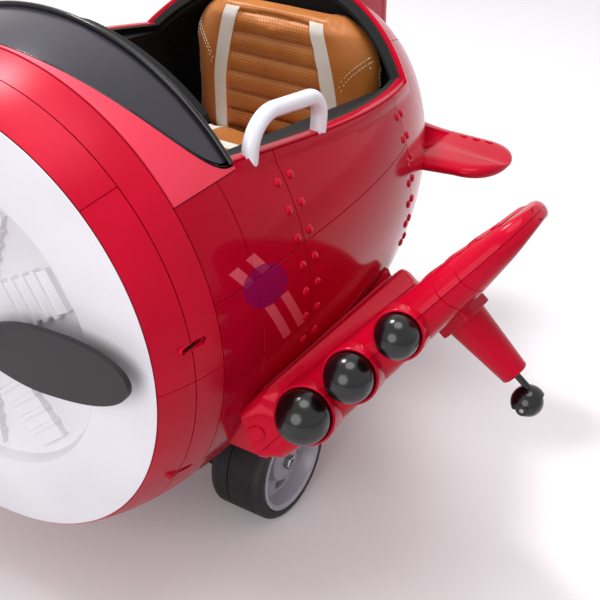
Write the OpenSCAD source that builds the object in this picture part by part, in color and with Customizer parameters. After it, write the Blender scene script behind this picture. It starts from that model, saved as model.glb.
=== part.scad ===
// Electric ride-on toy airplane, built up from its separate mouldings and mechanical parts.
// Millimetres. +Z is up, +X is the port side and the nose looks along -Y.
// Stations are measured aft from the nose plate, and heights from the fuselage axis.

/* [Fuselage] */
// Radius of the cowl at the nose plate
nose_r = 284; // [270:1:292]
// Largest radius of the fuselage
body_r = 316; // [300:1:330]
// Station of the largest radius
body_peak_y = 256; // [240:1:275]
// How late the nose rounds over
nose_power = 3.7; // [3:0.1:4.5]
// Station where the tail would close
tail_end_y = 1000; // [985:1:1030]
// How late the tail tapers
tail_power = 2.7; // [2.6:0.1:3]
// Distance of the tail's blunt end from that station
tail_blunt = 30; // [25:1:35]
// Wall of the body panels
skin = 4; // [3:0.5:5]
// Gap between neighbouring panels
seam = 0.8; // [0.4:0.1:0.9]
// Station of the first cowl seam
seam_cowl_y = 47; // [40:1:55]
// Station of the seam behind the cowl
seam_deck_y = 87; // [80:1:95]
// Station of the seam in front of the tail moulding
seam_tail_y = 560; // [540:1:575]
// Angle of the lower edge of the side panels, below level
belly_angle = 28; // [24:1:30]
// Angle of the side edges of the front deck, above level
deck_angle = 35.4; // [34:0.1:36]
// Station of the rear edge of the deck behind the cockpit
deck_rear_y = 815; // [805:1:830]
// Half angle of that deck
deck_half = 48; // [44:1:52]
// Height of the long seam along each side panel
flank_seam_z = 75; // [65:1:85]
// Station of the groove across the side panels
panel_groove_y = 157; // [150:1:164]
// Angle of the upper cowl slots above level
slot_angle = 8.7; // [6:0.1:12]
// Angle of the lower cowl slots below level
low_slot_angle = 50; // [44:1:56]
// Height of the cowl slots
slot_h = 9; // [6:1:12]
// Length of the cowl slots
slot_len = 31; // [24:1:34]

/* [Nose] */
// Thickness of the nose plate
plate_t = 8; // [6:1:10]
// Radius of the recess for the dummy engine
recess_r = 195; // [180:1:205]
// Depth of that recess
recess_depth = 14; // [10:1:18]
// Number of dummy cylinders
cylinder_count = 9; // [7:1:9]
// Radius of a dummy cylinder
cylinder_r = 26; // [20:1:28]

/* [Propeller] */
// Number of blades
blade_count = 3; // [2:1:4]
// Radius to the blade tips
blade_tip_r = 274; // [220:1:278]
// Greatest width of a blade
blade_w = 84; // [60:1:90]
// Width of a blade at the spinner
blade_root_w = 30; // [24:1:36]
// Thickness of a blade
blade_t = 7; // [5:1:9]
// Radius of the spinner
spinner_r = 44; // [38:1:50]
// Length of the spinner
spinner_len = 72; // [60:1:85]
// Radius of the propeller shaft
prop_shaft_r = 6; // [5:0.5:8]
// Distance from the nose plate to the spinner's back
prop_standoff = 16; // [12:1:20]
// Radius of the propeller motor
prop_motor_r = 28; // [22:1:32]
// Angle of the first blade below level
blade_droop = -6; // [-10:1:10]

/* [Cockpit] */
// Station of the front of the cockpit opening
cockpit_y = 184; // [178:1:190]
// Height of the coaming there, above the axis
coaming_z = 189; // [184:1:194]
// Station where the coaming meets the rear arch
arch_y = 640; // [625:1:650]
// Height of the coaming there
arch_z = 127; // [120:1:132]
// Station of the arch's top
arch_top_y = 716; // [705:1:725]
// Height of the arch's top
arch_top_z = 246; // [240:1:260]
// Height of the raised lip on the coaming
lip_h = 12; // [9:1:15]
// How far the lip stands out
lip_t = 3; // [2:0.5:4]
// Width of the trim strip on the coaming
trim_w = 14; // [11:1:17]
// Half width of the tub
tub_half_w = 212; // [205:1:216]
// Depth of the tub's floor below the axis
tub_depth = 196; // [190:1:200]
// Wall of the tub
tub_wall = 4; // [3:0.5:5]
// Station of the tub's front wall
tub_front_y = 200; // [198:1:206]
// Height where the tub's front wall meets the dashboard
dash_z = 60; // [50:1:70]
// Thickness of the dashboard
dash_t = 12; // [10:1:16]
// Thickness of the windscreen
screen_t = 3; // [2:0.5:4]
// How far the windscreen stands proud of the deck
screen_proud = 1; // [0.6:0.2:2]
// Width of the bead along the windscreen's rear edge
screen_bead = 12; // [10:1:14]
// Station of the tub's rear wall
tub_rear_y = 708; // [704:1:712]
// Height of the shelf that carries the joysticks
shelf_z = 92; // [80:1:100]

/* [Seat] */
// Width of the seat
seat_w = 322; // [300:1:324]
// Station of the backrest's face
backrest_y = 650; // [640:1:655]
// Height of the seat's back edge, above the axis
seat_rear_z = -22; // [-30:1:-15]
// Rise of the seat towards its front
seat_rise = 26; // [18:1:32]
// Length of the seat cushion
seat_len = 212; // [195:1:225]
// Thickness of the seat cushion
cushion_t = 52; // [44:1:58]
// Thickness of the backrest
backrest_t = 46; // [40:1:50]
// Height of the backrest
backrest_h = 218; // [205:1:220]
// Distance from the centre to the channelled panel's bands
band_x = 92; // [84:1:98]
// Number of channels in the backrest
channel_count = 7; // [6:1:10]
// Depth of a channel
channel_depth = 6; // [4:0.5:8]

/* [Grab handles] */
// Radius of the handle tube
handle_tube_r = 10; // [8:0.5:12]
// Station of the front foot
handle_front_y = 222; // [214:1:230]
// Station of the rear foot
handle_rear_y = 374; // [362:1:386]
// Height of the handle above the coaming
handle_h = 49; // [45:1:56]
// Bend radius of the handle
handle_bend = 34; // [28:1:38]
// Radius of the handle's foot plates
handle_foot_r = 15; // [13:0.5:17]

/* [Wing] */
// Angle of the wing above level
dihedral = 52; // [48:1:55]
// Sweep of the leading edge
sweep = 20; // [15:1:24]
// Angle of the wing's root face from upright
root_lean = 26; // [22:1:30]
// Distance of that face behind the wing's origin
root_back = 28; // [24:1:32]
// Height of the root block's top above the wing's middle plane
root_top = 53; // [48:1:56]
// Depth of the root block's lower edge below that plane
root_low = 6; // [4:1:10]
// Distance of the wing's root from the centre plane
wing_root_x = 340; // [336:1:344]
// Station of the wing's root
wing_root_y = 133; // [128:1:138]
// Depth of the wing's root below the axis
wing_root_depth = 123; // [118:1:127]
// Span of one wing along its slope
wing_span = 362; // [350:1:376]
// Chord at the root
root_chord = 372; // [350:1:385]
// Chord at the tip
tip_chord = 90; // [80:1:110]
// Radius of the leading edge at the root
nose_root_r = 37; // [34:1:39]
// Radius of the leading edge at the panel joint
nose_joint_r = 25; // [22:1:27]
// Radius of the leading edge at the tip
nose_tip_r = 14; // [12:1:16]
// Rounding of the tip seen from above
tip_round = 38; // [30:1:42]
// Distance along the span to the outer panel's joint
joint_x = 283; // [275:1:292]
// Wall of the wing mouldings
wing_wall = 4; // [3:0.5:5]
// Distance along the span to the first lamp
lamp_x = 61; // [58:1:64]
// Distance between lamps along the span
lamp_pitch = 71; // [68:1:74]
// Distance of the lamps ahead of the leading edge
lamp_out = 15; // [12:1:18]
// Radius of the first lamp dome
lamp_r = 33; // [31:0.5:34]
// How much smaller each next dome is
lamp_step = 3.7; // [3:0.1:4.2]
// Width of the lip round each dome
lamp_lip = 4.5; // [3.5:0.5:6]

/* [Wing leg] */
// Distance along the span to the leg
leg_x = 203; // [196:1:210]
// Distance of the leg aft of the wing's root station
leg_y = 167; // [155:1:180]
// Depth of the leg's pod below the wing's middle plane
pod_depth = 42; // [39:1:46]
// Length of the pod
pod_len = 56; // [52:1:60]
// Width of the pod
pod_w = 54; // [50:1:58]
// Length of the strut below the pod
strut_len = 84; // [78:1:90]
// Radius of the strut at the pod
strut_top_r = 25; // [23:0.5:26]
// Radius of the strut at its lower end
strut_low_r = 17; // [15:0.5:19]
// Radius of the caster ball
ball_r = 17.5; // [16:0.5:19]
// Distance of the ball from the swivel's axis
ball_trail = 13.5; // [11:0.5:15]
// Radius of the caster's stem
stem_r = 4; // [3:0.5:5]
// Depth of the ball's centre below the strut
ball_drop = 34; // [32:1:38]

/* [Main wheels] */
// Radius of the tyres
tyre_r = 85; // [80:1:90]
// Width of the tyres
tyre_w = 84; // [78:1:88]
// Radius of the wheel rims
rim_r = 70; // [66:1:73]
// Distance of the outer face of the rims from the centre plane
wheel_face_x = 251; // [246:1:256]
// Station of the axle
axle_y = 315; // [308:1:322]
// Depth of the axle below the fuselage axis
axle_drop = 325; // [322:1:330]
// Radius of the axle
axle_r = 6; // [5:0.5:7]
// Radial clearance of the wheels on the axle
axle_fit = 0.08; // [0.03:0.01:0.1]
// Distance of the gearboxes from the centre plane
gearbox_x = 112; // [108:1:116]
// Width of the gearboxes
gearbox_w = 46; // [40:1:48]
// Clearance round the tyres in the belly
well_gap = 12; // [9:1:16]
// Number of spokes in a rim
spoke_count = 5; // [4:1:6]

/* [Tail] */
// Station of the tail caster's swivel
caster_y = 690; // [680:1:700]
// Radius of the tail wheel
tail_wheel_r = 50; // [45:1:55]
// Width of the tail wheel
tail_wheel_w = 30; // [26:1:34]
// Distance of the tail wheel's axle behind the swivel
caster_trail = 28; // [22:1:34]
// Height of the stabilizers above the axis
stab_z = -6; // [-12:1:0]
// Half span of the stabilizers
stab_span = 362; // [350:1:374]
// Station of the stabilizers' leading edge at the root
stab_y = 640; // [634:1:646]
// Chord of the stabilizers at the root
stab_chord = 152; // [140:1:160]
// Edge radius of the stabilizers
stab_edge_r = 11; // [9:1:13]
// Height of the fin above the axis
fin_top_z = 340; // [320:1:360]

/* [Controls and drive] */
// Distance of each joystick from the centre plane
stick_x = 70; // [60:1:80]
// Station of the joysticks
stick_y = 262; // [255:1:268]
// Radius of a joystick's round pivot
stick_ball_r = 14; // [12:1:15]
// Height of a joystick above its pivot
stick_h = 82; // [75:1:86]
// Radius of the dashboard buttons
button_r = 9; // [8:0.5:11]
// Width of the chassis rails
rail_w = 25; // [20:1:28]
// Distance of the chassis rails from the centre plane
rail_x = 95; // [90:1:98]
// Width of the battery
battery_w = 151; // [145:1:154]
// Height of the battery
battery_h = 65; // [60:1:68]
// Length of the battery
battery_len = 94; // [90:1:98]

/* [Hidden] */
$fn = 64;

red = "#C4062E";
deck_red = "#D8203F";
white = "#E9E9EE";
black = "#1C1B1D";
grey = "#3A3836";
smoke = "#4A4650";
tan = "#B8763A";
lilac = "#A8A2AE";
steel = "#9A9CA0";

clear = 0.3;
fit = 0.06;
groove = 0.8;
groove_w = 1.4;
front_y = -prop_standoff - spinner_len;
tail_tip_y = tail_end_y - tail_blunt;
fin_rear_y = tail_end_y - 4;
mid_y = (front_y + fin_rear_y) / 2;
ground_z = -axle_drop - tyre_r;
half = seam / 2;
disc_r = nose_r - skin - seam;
coaming_slope = (arch_z - coaming_z) / (arch_y - cockpit_y);
arch_slope = (arch_top_y - arch_y) / (arch_top_z - arch_z);
far = 2 * body_r;
slot_y = seam_cowl_y + 2;

// The fuselage's outline: it swells from the nose to the peak and then tapers to the tail.
// Every panel follows this one list of stations and radii, closer together where the outline bends more.
function swell_r(y) = y < body_peak_y
    ? body_r - (body_r - nose_r) * pow((body_peak_y - y) / body_peak_y, nose_power)
    : body_r * (1 - pow((y - body_peak_y) / (tail_end_y - body_peak_y), tail_power));
hull_stations = concat([for (i = [0:9]) body_peak_y * pow(i / 10, 1.5)],
    [for (i = [0:20]) body_peak_y + (tail_end_y - body_peak_y) * pow(i / 20, 0.8)]);
hull_profile = [for (y = hull_stations) [y, swell_r(y)]];
function hull_r(y) = lookup(y, hull_profile);
// How far the outline leans away from the axis' direction at a station
function hull_lean(y) = atan((hull_r(y + rivet_r) - hull_r(y - rivet_r)) / (2 * rivet_r));
function stations(y0, y1) = concat([y0], [for (y = hull_stations) if (y > y0 + 0.5 && y < y1 - 0.5) y], [y1]);
function coaming_at(y) = coaming_z + coaming_slope * (y - cockpit_y);
function reversed(list) = [for (i = [len(list) - 1:-1:0]) list[i]];

// Moves a piece from fuselage coordinates to the row's own frame
module placed() translate([0, -mid_y, -ground_z]) children();

// Turns an outline of radius and station round the fuselage axis, from angle a0 up to a1
module round_body(a0 = 0, a1 = 360) {
    rotate([-90, 0, 0]) rotate([0, 0, -a1])
        rotate_extrude(angle = a1 - a0, $fn = 96) children();
}

// A wall that follows the fuselage between two stations and two offsets from its surface
module hull_wall(y0, y1, low, high, a0 = 0, a1 = 360) {
    ys = stations(y0, y1);
    round_body(a0, a1) polygon(concat([for (y = ys) [hull_r(y) + high, y]],
        [for (y = reversed(ys)) [hull_r(y) + low, y]]));
}

// The fuselage's own volume, moved in or out by an offset
module hull_solid(y0, y1, offset_r) {
    ys = stations(y0, y1);
    round_body() polygon(concat([[0, y0]], [for (y = ys) [hull_r(y) + offset_r, y]], [[0, y1]]));
}

// A side view outline of station and height, run across the whole width
module across(width) rotate([90, 0, 90]) linear_extrude(width, center = true) children();

// The coaming's line with the rear arch's, in side view from a station aft, raised by a rise or lowered aft
function coaming_line(rise, y0) = let (corner_y = rise * (arch_slope - 1) / (1 - arch_slope * coaming_slope))
    [[y0, coaming_at(y0) + rise], [arch_y + corner_y, arch_z + coaming_slope * corner_y + rise],
        [arch_y + arch_slope * far - rise, arch_z + far]];

// Everything above the coaming and in front of the rear arch, and as much deeper as the drop
module cockpit_cut(drop = 0) across(2 * far)
    polygon(concat([[cockpit_y - drop, arch_z + far]], coaming_line(-drop, cockpit_y - drop)));

// A band between two heights over the coaming's line, that follows the rear arch too
module coaming_band(low, high) across(2 * far)
    polygon(concat(coaming_line(high, cockpit_y + half), reversed(coaming_line(low, cockpit_y + half))));

// A slot with round ends through the cowl at a given angle
module cowl_slot(angle) for (turn = [angle, 180 - angle])
    rotate([0, -turn, 0]) translate([hull_r(slot_y) - 20, slot_y, 0]) rotate([0, 90, 0]) linear_extrude(40) {
        square([slot_h, slot_len - slot_h], center = true);
        for (end = [-1, 1]) translate([0, end * (slot_len - slot_h) / 2]) circle(r = slot_h / 2);
    }

// A shallow line round the body at one station
module seam_groove(y) round_body() polygon([[hull_r(y) - groove, y - groove_w / 2], [body_r + 5, y - groove_w / 2],
    [body_r + 5, y + groove_w / 2], [hull_r(y) - groove, y + groove_w / 2]]);

// Body panels

module nose_plate() color(white) placed() round_body()
    polygon([[prop_shaft_r + 2, recess_depth], [recess_r - 6, recess_depth], [recess_r, 0], [disc_r - 1, 0],
        [disc_r, 1], [hull_r(plate_t) - skin - clear, plate_t], [recess_r + 4, plate_t],
        [recess_r, recess_depth + plate_t / 2],
        [prop_shaft_r + 2, recess_depth + plate_t / 2]]);

// The moulded relief of a radial engine: a crankcase ring and finned cylinders round it
module dummy_engine() color(white) placed() {
    case_r = recess_r * 0.42;
    reach = recess_r - 20;
    fin_pitch = (reach - case_r - 12) / 4;
    round_body() polygon([[prop_motor_r, recess_depth], [prop_motor_r, 3], [case_r - 14, 3], [case_r, 9], [case_r, recess_depth]]);
    for (i = [0:cylinder_count - 1]) rotate([0, 90 + i * 360 / cylinder_count, 0]) {
        translate([case_r - 8, recess_depth - 8, -cylinder_r]) cube([reach - case_r + 8, 8, 2 * cylinder_r]);
        for (fin = [0:3]) translate([case_r + 9 + fin * fin_pitch, recess_depth - 11, -cylinder_r - 3])
            cube([6, 11, 2 * cylinder_r + 6]);
    }
}

module cowl_slots() {
    cowl_slot(slot_angle);
    cowl_slot(-low_slot_angle);
}
module cowl_ring(y0, y1) difference() {
    hull_wall(y0, y1, -skin, 0);
    cowl_slots();
}

module cowl_ring_front() color(red) placed() cowl_ring(0, seam_cowl_y - half);
module cowl_ring_rear() color(red) placed() cowl_ring(seam_cowl_y + half, seam_deck_y - half);

// The windscreen's outline from above: an ellipse whose long axis lies on the cockpit's front edge
screen_lap = 1.8;
module screen_outline(grow) {
    reach_x = sqrt(pow(hull_r(cockpit_y), 2) - pow(coaming_z, 2)) + screen_lap;
    reach_y = cockpit_y - seam_deck_y - 3;
    translate([0, 0, coaming_z - 60]) linear_extrude(body_r) polygon([for (i = [0:32])
        let (a = 180 + i * 180 / 32) [(reach_x + grow) * cos(a), cockpit_y + (reach_y + grow) * sin(a)]]);
}
bead_y0 = cockpit_y - screen_bead / 2;
bead_y1 = cockpit_y + screen_bead / 2;
module deck_panel() color(deck_red) placed() difference() {
    hull_wall(seam_deck_y + half, bead_y1, -skin, 0.6, deck_angle, 180 - deck_angle);
    screen_outline(0);
    translate([-far, bead_y0 - clear, coaming_z - clear]) cube([2 * far, far, far]);
}

module windscreen() color(smoke) placed() intersection() {
    hull_wall(seam_deck_y, bead_y0 - clear, screen_proud - screen_t, screen_proud, 30, 150);
    screen_outline(-3.5);
}

// A bead along the windscreen's rear edge, and a thin one along its base
module windscreen_frame() color(black) placed() {
    intersection() {
        hull_wall(bead_y0, bead_y1, -skin - 2, screen_proud + 6, 25, 155);
        translate([-far, 0, coaming_z]) cube([2 * far, far, far]);
    }
    intersection() {
        hull_wall(seam_deck_y, cockpit_y, -skin, screen_proud + 1.5, 25, 155);
        translate([-far, 0, coaming_z]) cube([2 * far, far, far]);
        difference() {
            screen_outline(-0.5);
            screen_outline(-3.2);
        }
    }
}

well_x = gearbox_x - 3;
module wheel_well() translate([well_x, axle_y, -axle_drop]) rotate([0, 90, 0])
    cylinder(r = tyre_r + well_gap, h = wheel_face_x - well_x + 16);

module side_panel() color(red) difference() {
    union() {
        hull_wall(seam_deck_y + half, seam_tail_y - half, -skin, 0, -belly_angle + 0.1, 40);
        intersection() {
            hull_wall(cockpit_y + seam, seam_tail_y - seam, -skin / 2, lip_t, 10, 45);
            coaming_band(-lip_h, lip_h);
        }
    }
    cockpit_cut();
    hull_wall(seam_deck_y - 5, bead_y1 + seam, -skin - 5, 20, deck_angle - 0.15, 60);
    for (y = [panel_groove_y, body_peak_y]) seam_groove(y);
    intersection() {
        hull_wall(seam_deck_y, seam_tail_y, -groove, 5, 0, 30);
        translate([0, 0, flank_seam_z]) cube([far, far, groove_w]);
    }
}
module side_panel_left() placed() side_panel();
module side_panel_right() placed() mirror([1, 0, 0]) side_panel();

module belly_panel() color(red) placed() difference() {
    hull_wall(seam_deck_y + half, seam_tail_y - half, -skin, 0, belly_angle - 180 + 0.1, -belly_angle - 0.1);
    for (side = [0, 1]) mirror([side, 0, 0]) wheel_well();
    for (y = [panel_groove_y, body_peak_y]) seam_groove(y);
}

// The rear moulding, before the cockpit and the upper deck are cut from it
module rear_body(y0) {
    ys = stations(y0, tail_tip_y);
    round_body() polygon(concat([for (y = ys) [hull_r(y), y]], [[0, tail_tip_y], [0, tail_tip_y - 2 * skin]],
        [for (y = reversed(stations(y0, tail_tip_y - 2 * skin))) [hull_r(y) - skin, y]]));
}
socket_r = 30;
module tail_shell() color(red) placed() difference() {
    union() {
        rear_body(seam_tail_y + half);
        intersection() {
            hull_wall(seam_tail_y + seam, arch_top_y + 80, -skin / 2, lip_t);
            coaming_band(-lip_h, lip_h);
            translate([-far, 0, 0]) cube([2 * far, deck_rear_y, hull_r(arch_y) * cos(deck_half) - 4]);
        }
    }
    cockpit_cut();
    hull_wall(seam_tail_y, deck_rear_y, -skin - 5, 20, 90 - deck_half, 90 + deck_half);
    translate([0, caster_y, -far]) cylinder(r = socket_r + clear, h = far);
}
module turtledeck() color(red) placed() difference() {
    union() {
        hull_wall(arch_y, deck_rear_y - seam, -skin, 0, 90 - deck_half + 0.2, 90 + deck_half - 0.2);
        intersection() {
            hull_wall(arch_y, arch_top_y + 80, -skin / 2, lip_t, 90 - deck_half + 0.2, 90 + deck_half - 0.2);
            coaming_band(-lip_h, lip_h);
        }
    }
    cockpit_cut();
}

// Cockpit

trim_proud = 2;
module coaming_trim() color(grey) placed() intersection() {
    hull_wall(bead_y1 + clear, arch_top_y + 40, -skin - clear - trim_w, -skin - clear);
    coaming_band(-8, trim_proud);
}

// Reinforcing rings moulded inside the panel joints, and the bulkhead that carries the propeller motor
module frame_rings() color(black) placed() difference() {
    union() {
        round_body() polygon([[0, seam_deck_y - 3], [hull_r(seam_deck_y - 3) - skin - clear, seam_deck_y - 3],
            [hull_r(seam_deck_y + 4) - skin - clear, seam_deck_y + 4], [0, seam_deck_y + 4]]);
        hull_wall(seam_cowl_y - 6, seam_cowl_y + 6, -skin - 12, -skin - clear);
        hull_wall(seam_tail_y - 7, seam_tail_y + 7, -skin - 14, -skin - clear);
    }
    cockpit_cut(trim_w);
    for (a = [45:90:315]) rotate([0, a, 0]) translate([body_r * 0.55, seam_cowl_y + 10, 0])
        rotate([-90, 0, 0]) cylinder(r = body_r / 7, h = seam_deck_y - seam_cowl_y);
}

tub_inset = 20;
// The tub: a pocket inside the fuselage with a flange under the coaming
module tub_pocket(inset) intersection() {
    translate([-tub_half_w + inset, tub_front_y + inset, -tub_depth + inset])
        cube([2 * (tub_half_w - inset), tub_rear_y - tub_front_y - 2 * inset, far]);
    hull_solid(seam_deck_y, tub_rear_y + 52, -tub_inset - inset);
}
module cockpit_tub() color(black) placed() difference() {
    union() {
        difference() {
            tub_pocket(0);
            cockpit_cut(9);
        }
        intersection() {
            hull_solid(cockpit_y, arch_top_y + 60, -skin - clear);
            coaming_band(-12, -8.2);
        }
    }
    tub_pocket(tub_wall);
    translate([-tub_half_w + tub_wall, cockpit_y - 10, dash_z]) cube([2 * (tub_half_w - tub_wall), 60, far]);
}

module stick_places() for (side = [-1, 1]) translate([side * stick_x, stick_y, shelf_z]) children();
module button_places(sides = [-1, 1]) for (side = sides) translate([side * 28, tub_front_y, dash_z + 78])
    rotate([-90, 0, 0]) children();
module dashboard() color(black) placed() difference() {
    union() {
        intersection() {
            hull_solid(seam_deck_y, arch_y, -skin - 2 - clear);
            translate([-tub_half_w + tub_wall + clear, tub_front_y, dash_z + clear])
                cube([2 * (tub_half_w - tub_wall - clear), dash_t, body_r - skin - 6 - dash_z]);
        }
        translate([-stick_x - 46, tub_front_y + dash_t - 1, shelf_z - 16])
            cube([2 * stick_x + 92, stick_y - tub_front_y - dash_t + 42, 16]);
        stick_places() cylinder(r = stick_ball_r + 9, h = stick_lift + 4);
        for (x = [-80, 0, 80]) translate([x, tub_front_y + dash_t - 1, dash_z + 118])
            rotate([-90, 0, 0]) cylinder(r = 24, h = 5);
    }
    stick_places() translate([0, 0, stick_lift]) rotate([0, 90, 0])
        cylinder(r = stick_ball_r + fit, h = stick_pivot_w + 2 * clear, center = true);
    button_places() cylinder(r = button_r + clear, h = dash_t + 10);
}

// The stick tilts fore and aft on a barrel that snaps into a trough of the shelf
stick_pivot_w = 26;
module joystick() color(black) {
    rotate([0, 90, 0]) cylinder(r = stick_ball_r, h = stick_pivot_w, center = true);
    cylinder(r = 6, h = stick_h - 20);
    translate([0, 0, stick_h - 48]) cylinder(r = 12, h = 40);
    translate([0, 0, stick_h - 8]) sphere(r = 15);
}
stick_lift = 8;
module joystick_left() placed() translate([stick_x, stick_y, shelf_z + stick_lift]) joystick();
module joystick_right() placed() translate([-stick_x, stick_y, shelf_z + stick_lift]) joystick();

module button() translate([0, 0, 4]) {
    cylinder(r = button_r, h = dash_t + 2);
    translate([0, 0, dash_t + 2]) cylinder(r = button_r - 1.5, h = 1);
}
module start_button() color(red) placed() button_places([1]) button();
module horn_button() color(white) placed() button_places([-1]) button();

// Seat

// A moulded base with a board up its back, inside the tub
cushion_back = 12;
cushion_rear_y = backrest_y - cushion_back;
base_front_y = backrest_y - seat_len + 8;
base_rear_y = backrest_y + 10;
board_y = backrest_y + backrest_t + clear;
board_top_z = 110;
board_w = seat_w - 30;
base_w = seat_w - 66;
shell_wall = 6;
function cushion_under(y) = seat_rear_z - cushion_t + seat_rise * (cushion_rear_y - y) / (seat_len - cushion_back);
module seat_shell() color(black) placed() difference() {
    base_low = -tub_depth + tub_wall + clear;
    step_y = backrest_y - shell_wall;
    step_z = cushion_under(step_y) - clear;
    union() {
        across(base_w) polygon([[base_front_y, base_low], [base_rear_y, base_low], [base_rear_y, step_z],
            [step_y, step_z], [base_front_y, cushion_under(base_front_y) - clear]]);
        across(board_w) polygon([[step_y, step_z - shell_wall], [board_y + shell_wall, step_z - shell_wall],
            [board_y + shell_wall, board_top_z], [board_y, board_top_z], [board_y, step_z], [step_y, step_z]]);
    }
    across(base_w - 2 * shell_wall) polygon([[base_front_y + shell_wall, -far], [base_rear_y - shell_wall, -far],
        [base_rear_y - shell_wall, step_z - 2 * shell_wall],
        [base_front_y + shell_wall, cushion_under(base_front_y) - 2 * shell_wall]]);
}

// A closed skin over a stack of rings with the same number of points each
module skin_over(rings) {
    n = len(rings[0]);
    m = len(rings);
    polyhedron([for (ring = rings) each ring], concat(
        [for (i = [0:m - 2], j = [0:n - 1], k = [0, 1]) let (a = i * n + j, b = i * n + (j + 1) % n)
            k == 0 ? [a, a + n, b] : [b, a + n, b + n]],
        [for (j = [1:n - 2]) [0, j, j + 1]],
        [for (j = [1:n - 2]) [(m - 1) * n, (m - 1) * n + j + 1, (m - 1) * n + j]]));
}

// How far a cushion's channels sink its face, from 0 on a ridge to 1 in a channel
function channel(s, count) = pow(abs(cos(180 * s * count)), 4);

// How far the backrest's outer panels turn back towards its edges
side_turn = 20;
front_points = 15;
back_points = 7;
// One level of the backrest: its face runs across from starboard, its back returns
function backrest_ring(s) = let (
        round_from = 0.62,
        corner = s < round_from ? 1 : sqrt(max(0.0001, 1 - pow((s - round_from) / (1 - round_from + 0.012), 2))),
        edge = min(1, 10 * min(s + 0.02, 1.03 - s)),
        w = seat_w / 2 * (0.42 + 0.58 * corner) * (0.97 + 0.03 * edge),
        z = seat_rear_z - 4 + backrest_h * s,
        t = backrest_t * (0.55 + 0.45 * edge))
    concat([for (i = [0:front_points - 1]) let (u = -1 + 2 * i / (front_points - 1),
            inside = abs(u) * w < band_x ? 1 : 0,
            beside = max(0, abs(u) * w - band_x) / max(1, w - band_x),
            crown = 9 - 4 * pow(u, 2) - (side_turn - 4) * pow(beside, 2) + 4 * sin(180 * beside),
            sink = inside * channel_depth * channel(s, channel_count) * edge)
            [u * w, backrest_y + backrest_t - t - crown * edge + 9 + sink, z]],
        [for (i = [0:back_points - 1]) let (u = 1 - 2 * i / (back_points - 1))
            [u * w * 0.95, backrest_y + backrest_t, z]]);
module seat_backrest() color(tan) placed()
    skin_over([for (i = [0:45]) backrest_ring(i / 45)]);

// One station of the seat cushion: its top runs across from starboard, its underside returns
function cushion_ring(s) = let (
        edge = min(1, 7 * min(s + 0.03, 1.04 - s)),
        w = seat_w / 2 * (0.9 + 0.1 * edge) * (1 - 0.05 * pow(s, 6)),
        y = cushion_rear_y - (seat_len - cushion_back) * s,
        base = cushion_under(y),
        t = cushion_t * (0.72 + 0.28 * edge))
    concat([for (i = [0:front_points - 1]) let (u = -1 + 2 * i / (front_points - 1),
            crown = 12 * (1 - pow(abs(u), 4)) * sin(90 + 80 * (s - 0.5)) +
                (abs(u) * w > band_x ? 8 * sin(180 * (abs(u) * w - band_x) / max(1, w - band_x)) : 0))
            [u * w, y, base + t - 12 + crown * edge]],
        [for (i = [0:back_points - 1]) let (u = 1 - 2 * i / (back_points - 1)) [u * w * 0.97, y, base]]);
module seat_cushion() color(tan) placed()
    skin_over([for (i = [20:-1:0]) cushion_ring(i / 20)]);

// Grab handles: a bent tube with its two feet on the coaming

// The handle's own frame has Y along the coaming and Z square to it.
coaming_fall = -atan(coaming_slope);
handle_mid_y = (handle_front_y + handle_rear_y) / 2;
handle_x = sqrt(pow(hull_r(handle_mid_y), 2) - pow(coaming_at(handle_mid_y), 2)) - skin - clear - trim_w / 2;
handle_len = handle_rear_y - handle_front_y;
module grab_handle() color(white) translate([handle_x, handle_front_y, coaming_at(handle_front_y) + trim_proud + clear])
    rotate([-coaming_fall, 0, 0]) {
        for (y = [0, handle_len]) translate([0, y, 0]) {
            cylinder(r = handle_foot_r, h = 4);
            cylinder(r = handle_tube_r, h = handle_h - handle_bend);
        }
        translate([0, handle_bend, handle_h - handle_bend]) rotate([90, 0, 90]) rotate([0, 0, 90]) handle_elbow();
        translate([0, handle_len - handle_bend, handle_h - handle_bend]) rotate([90, 0, 90]) handle_elbow();
        translate([0, handle_bend, handle_h]) rotate([-90, 0, 0])
            cylinder(r = handle_tube_r, h = handle_len - 2 * handle_bend);
    }
module handle_elbow() rotate_extrude(angle = 90) translate([handle_bend, 0]) circle(r = handle_tube_r);
module grab_handle_left() placed() grab_handle();
module grab_handle_right() placed() mirror([1, 0, 0]) grab_handle();

// Wings. In a wing's own frame X runs along the span, Y aft and Z square to the wing's middle plane.

module wing_frame() translate([wing_root_x, wing_root_y, -wing_root_depth]) rotate([0, -dihedral, 0]) children();
function lead_y(x) = x * tan(sweep);
function nose_at(x) = x < joint_x ? nose_root_r + (nose_joint_r - nose_root_r) * x / joint_x
    : nose_joint_r + (nose_tip_r - nose_joint_r) * (x - joint_x) / (wing_span - joint_x);
function chord_at(x) = root_chord + (tip_chord - root_chord) * x / wing_span;
// A rounded value that keeps its sign: power 1 is a circle's, and a smaller one squarer
function squared(v, power) = sign(v) * pow(abs(v), power);
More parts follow.
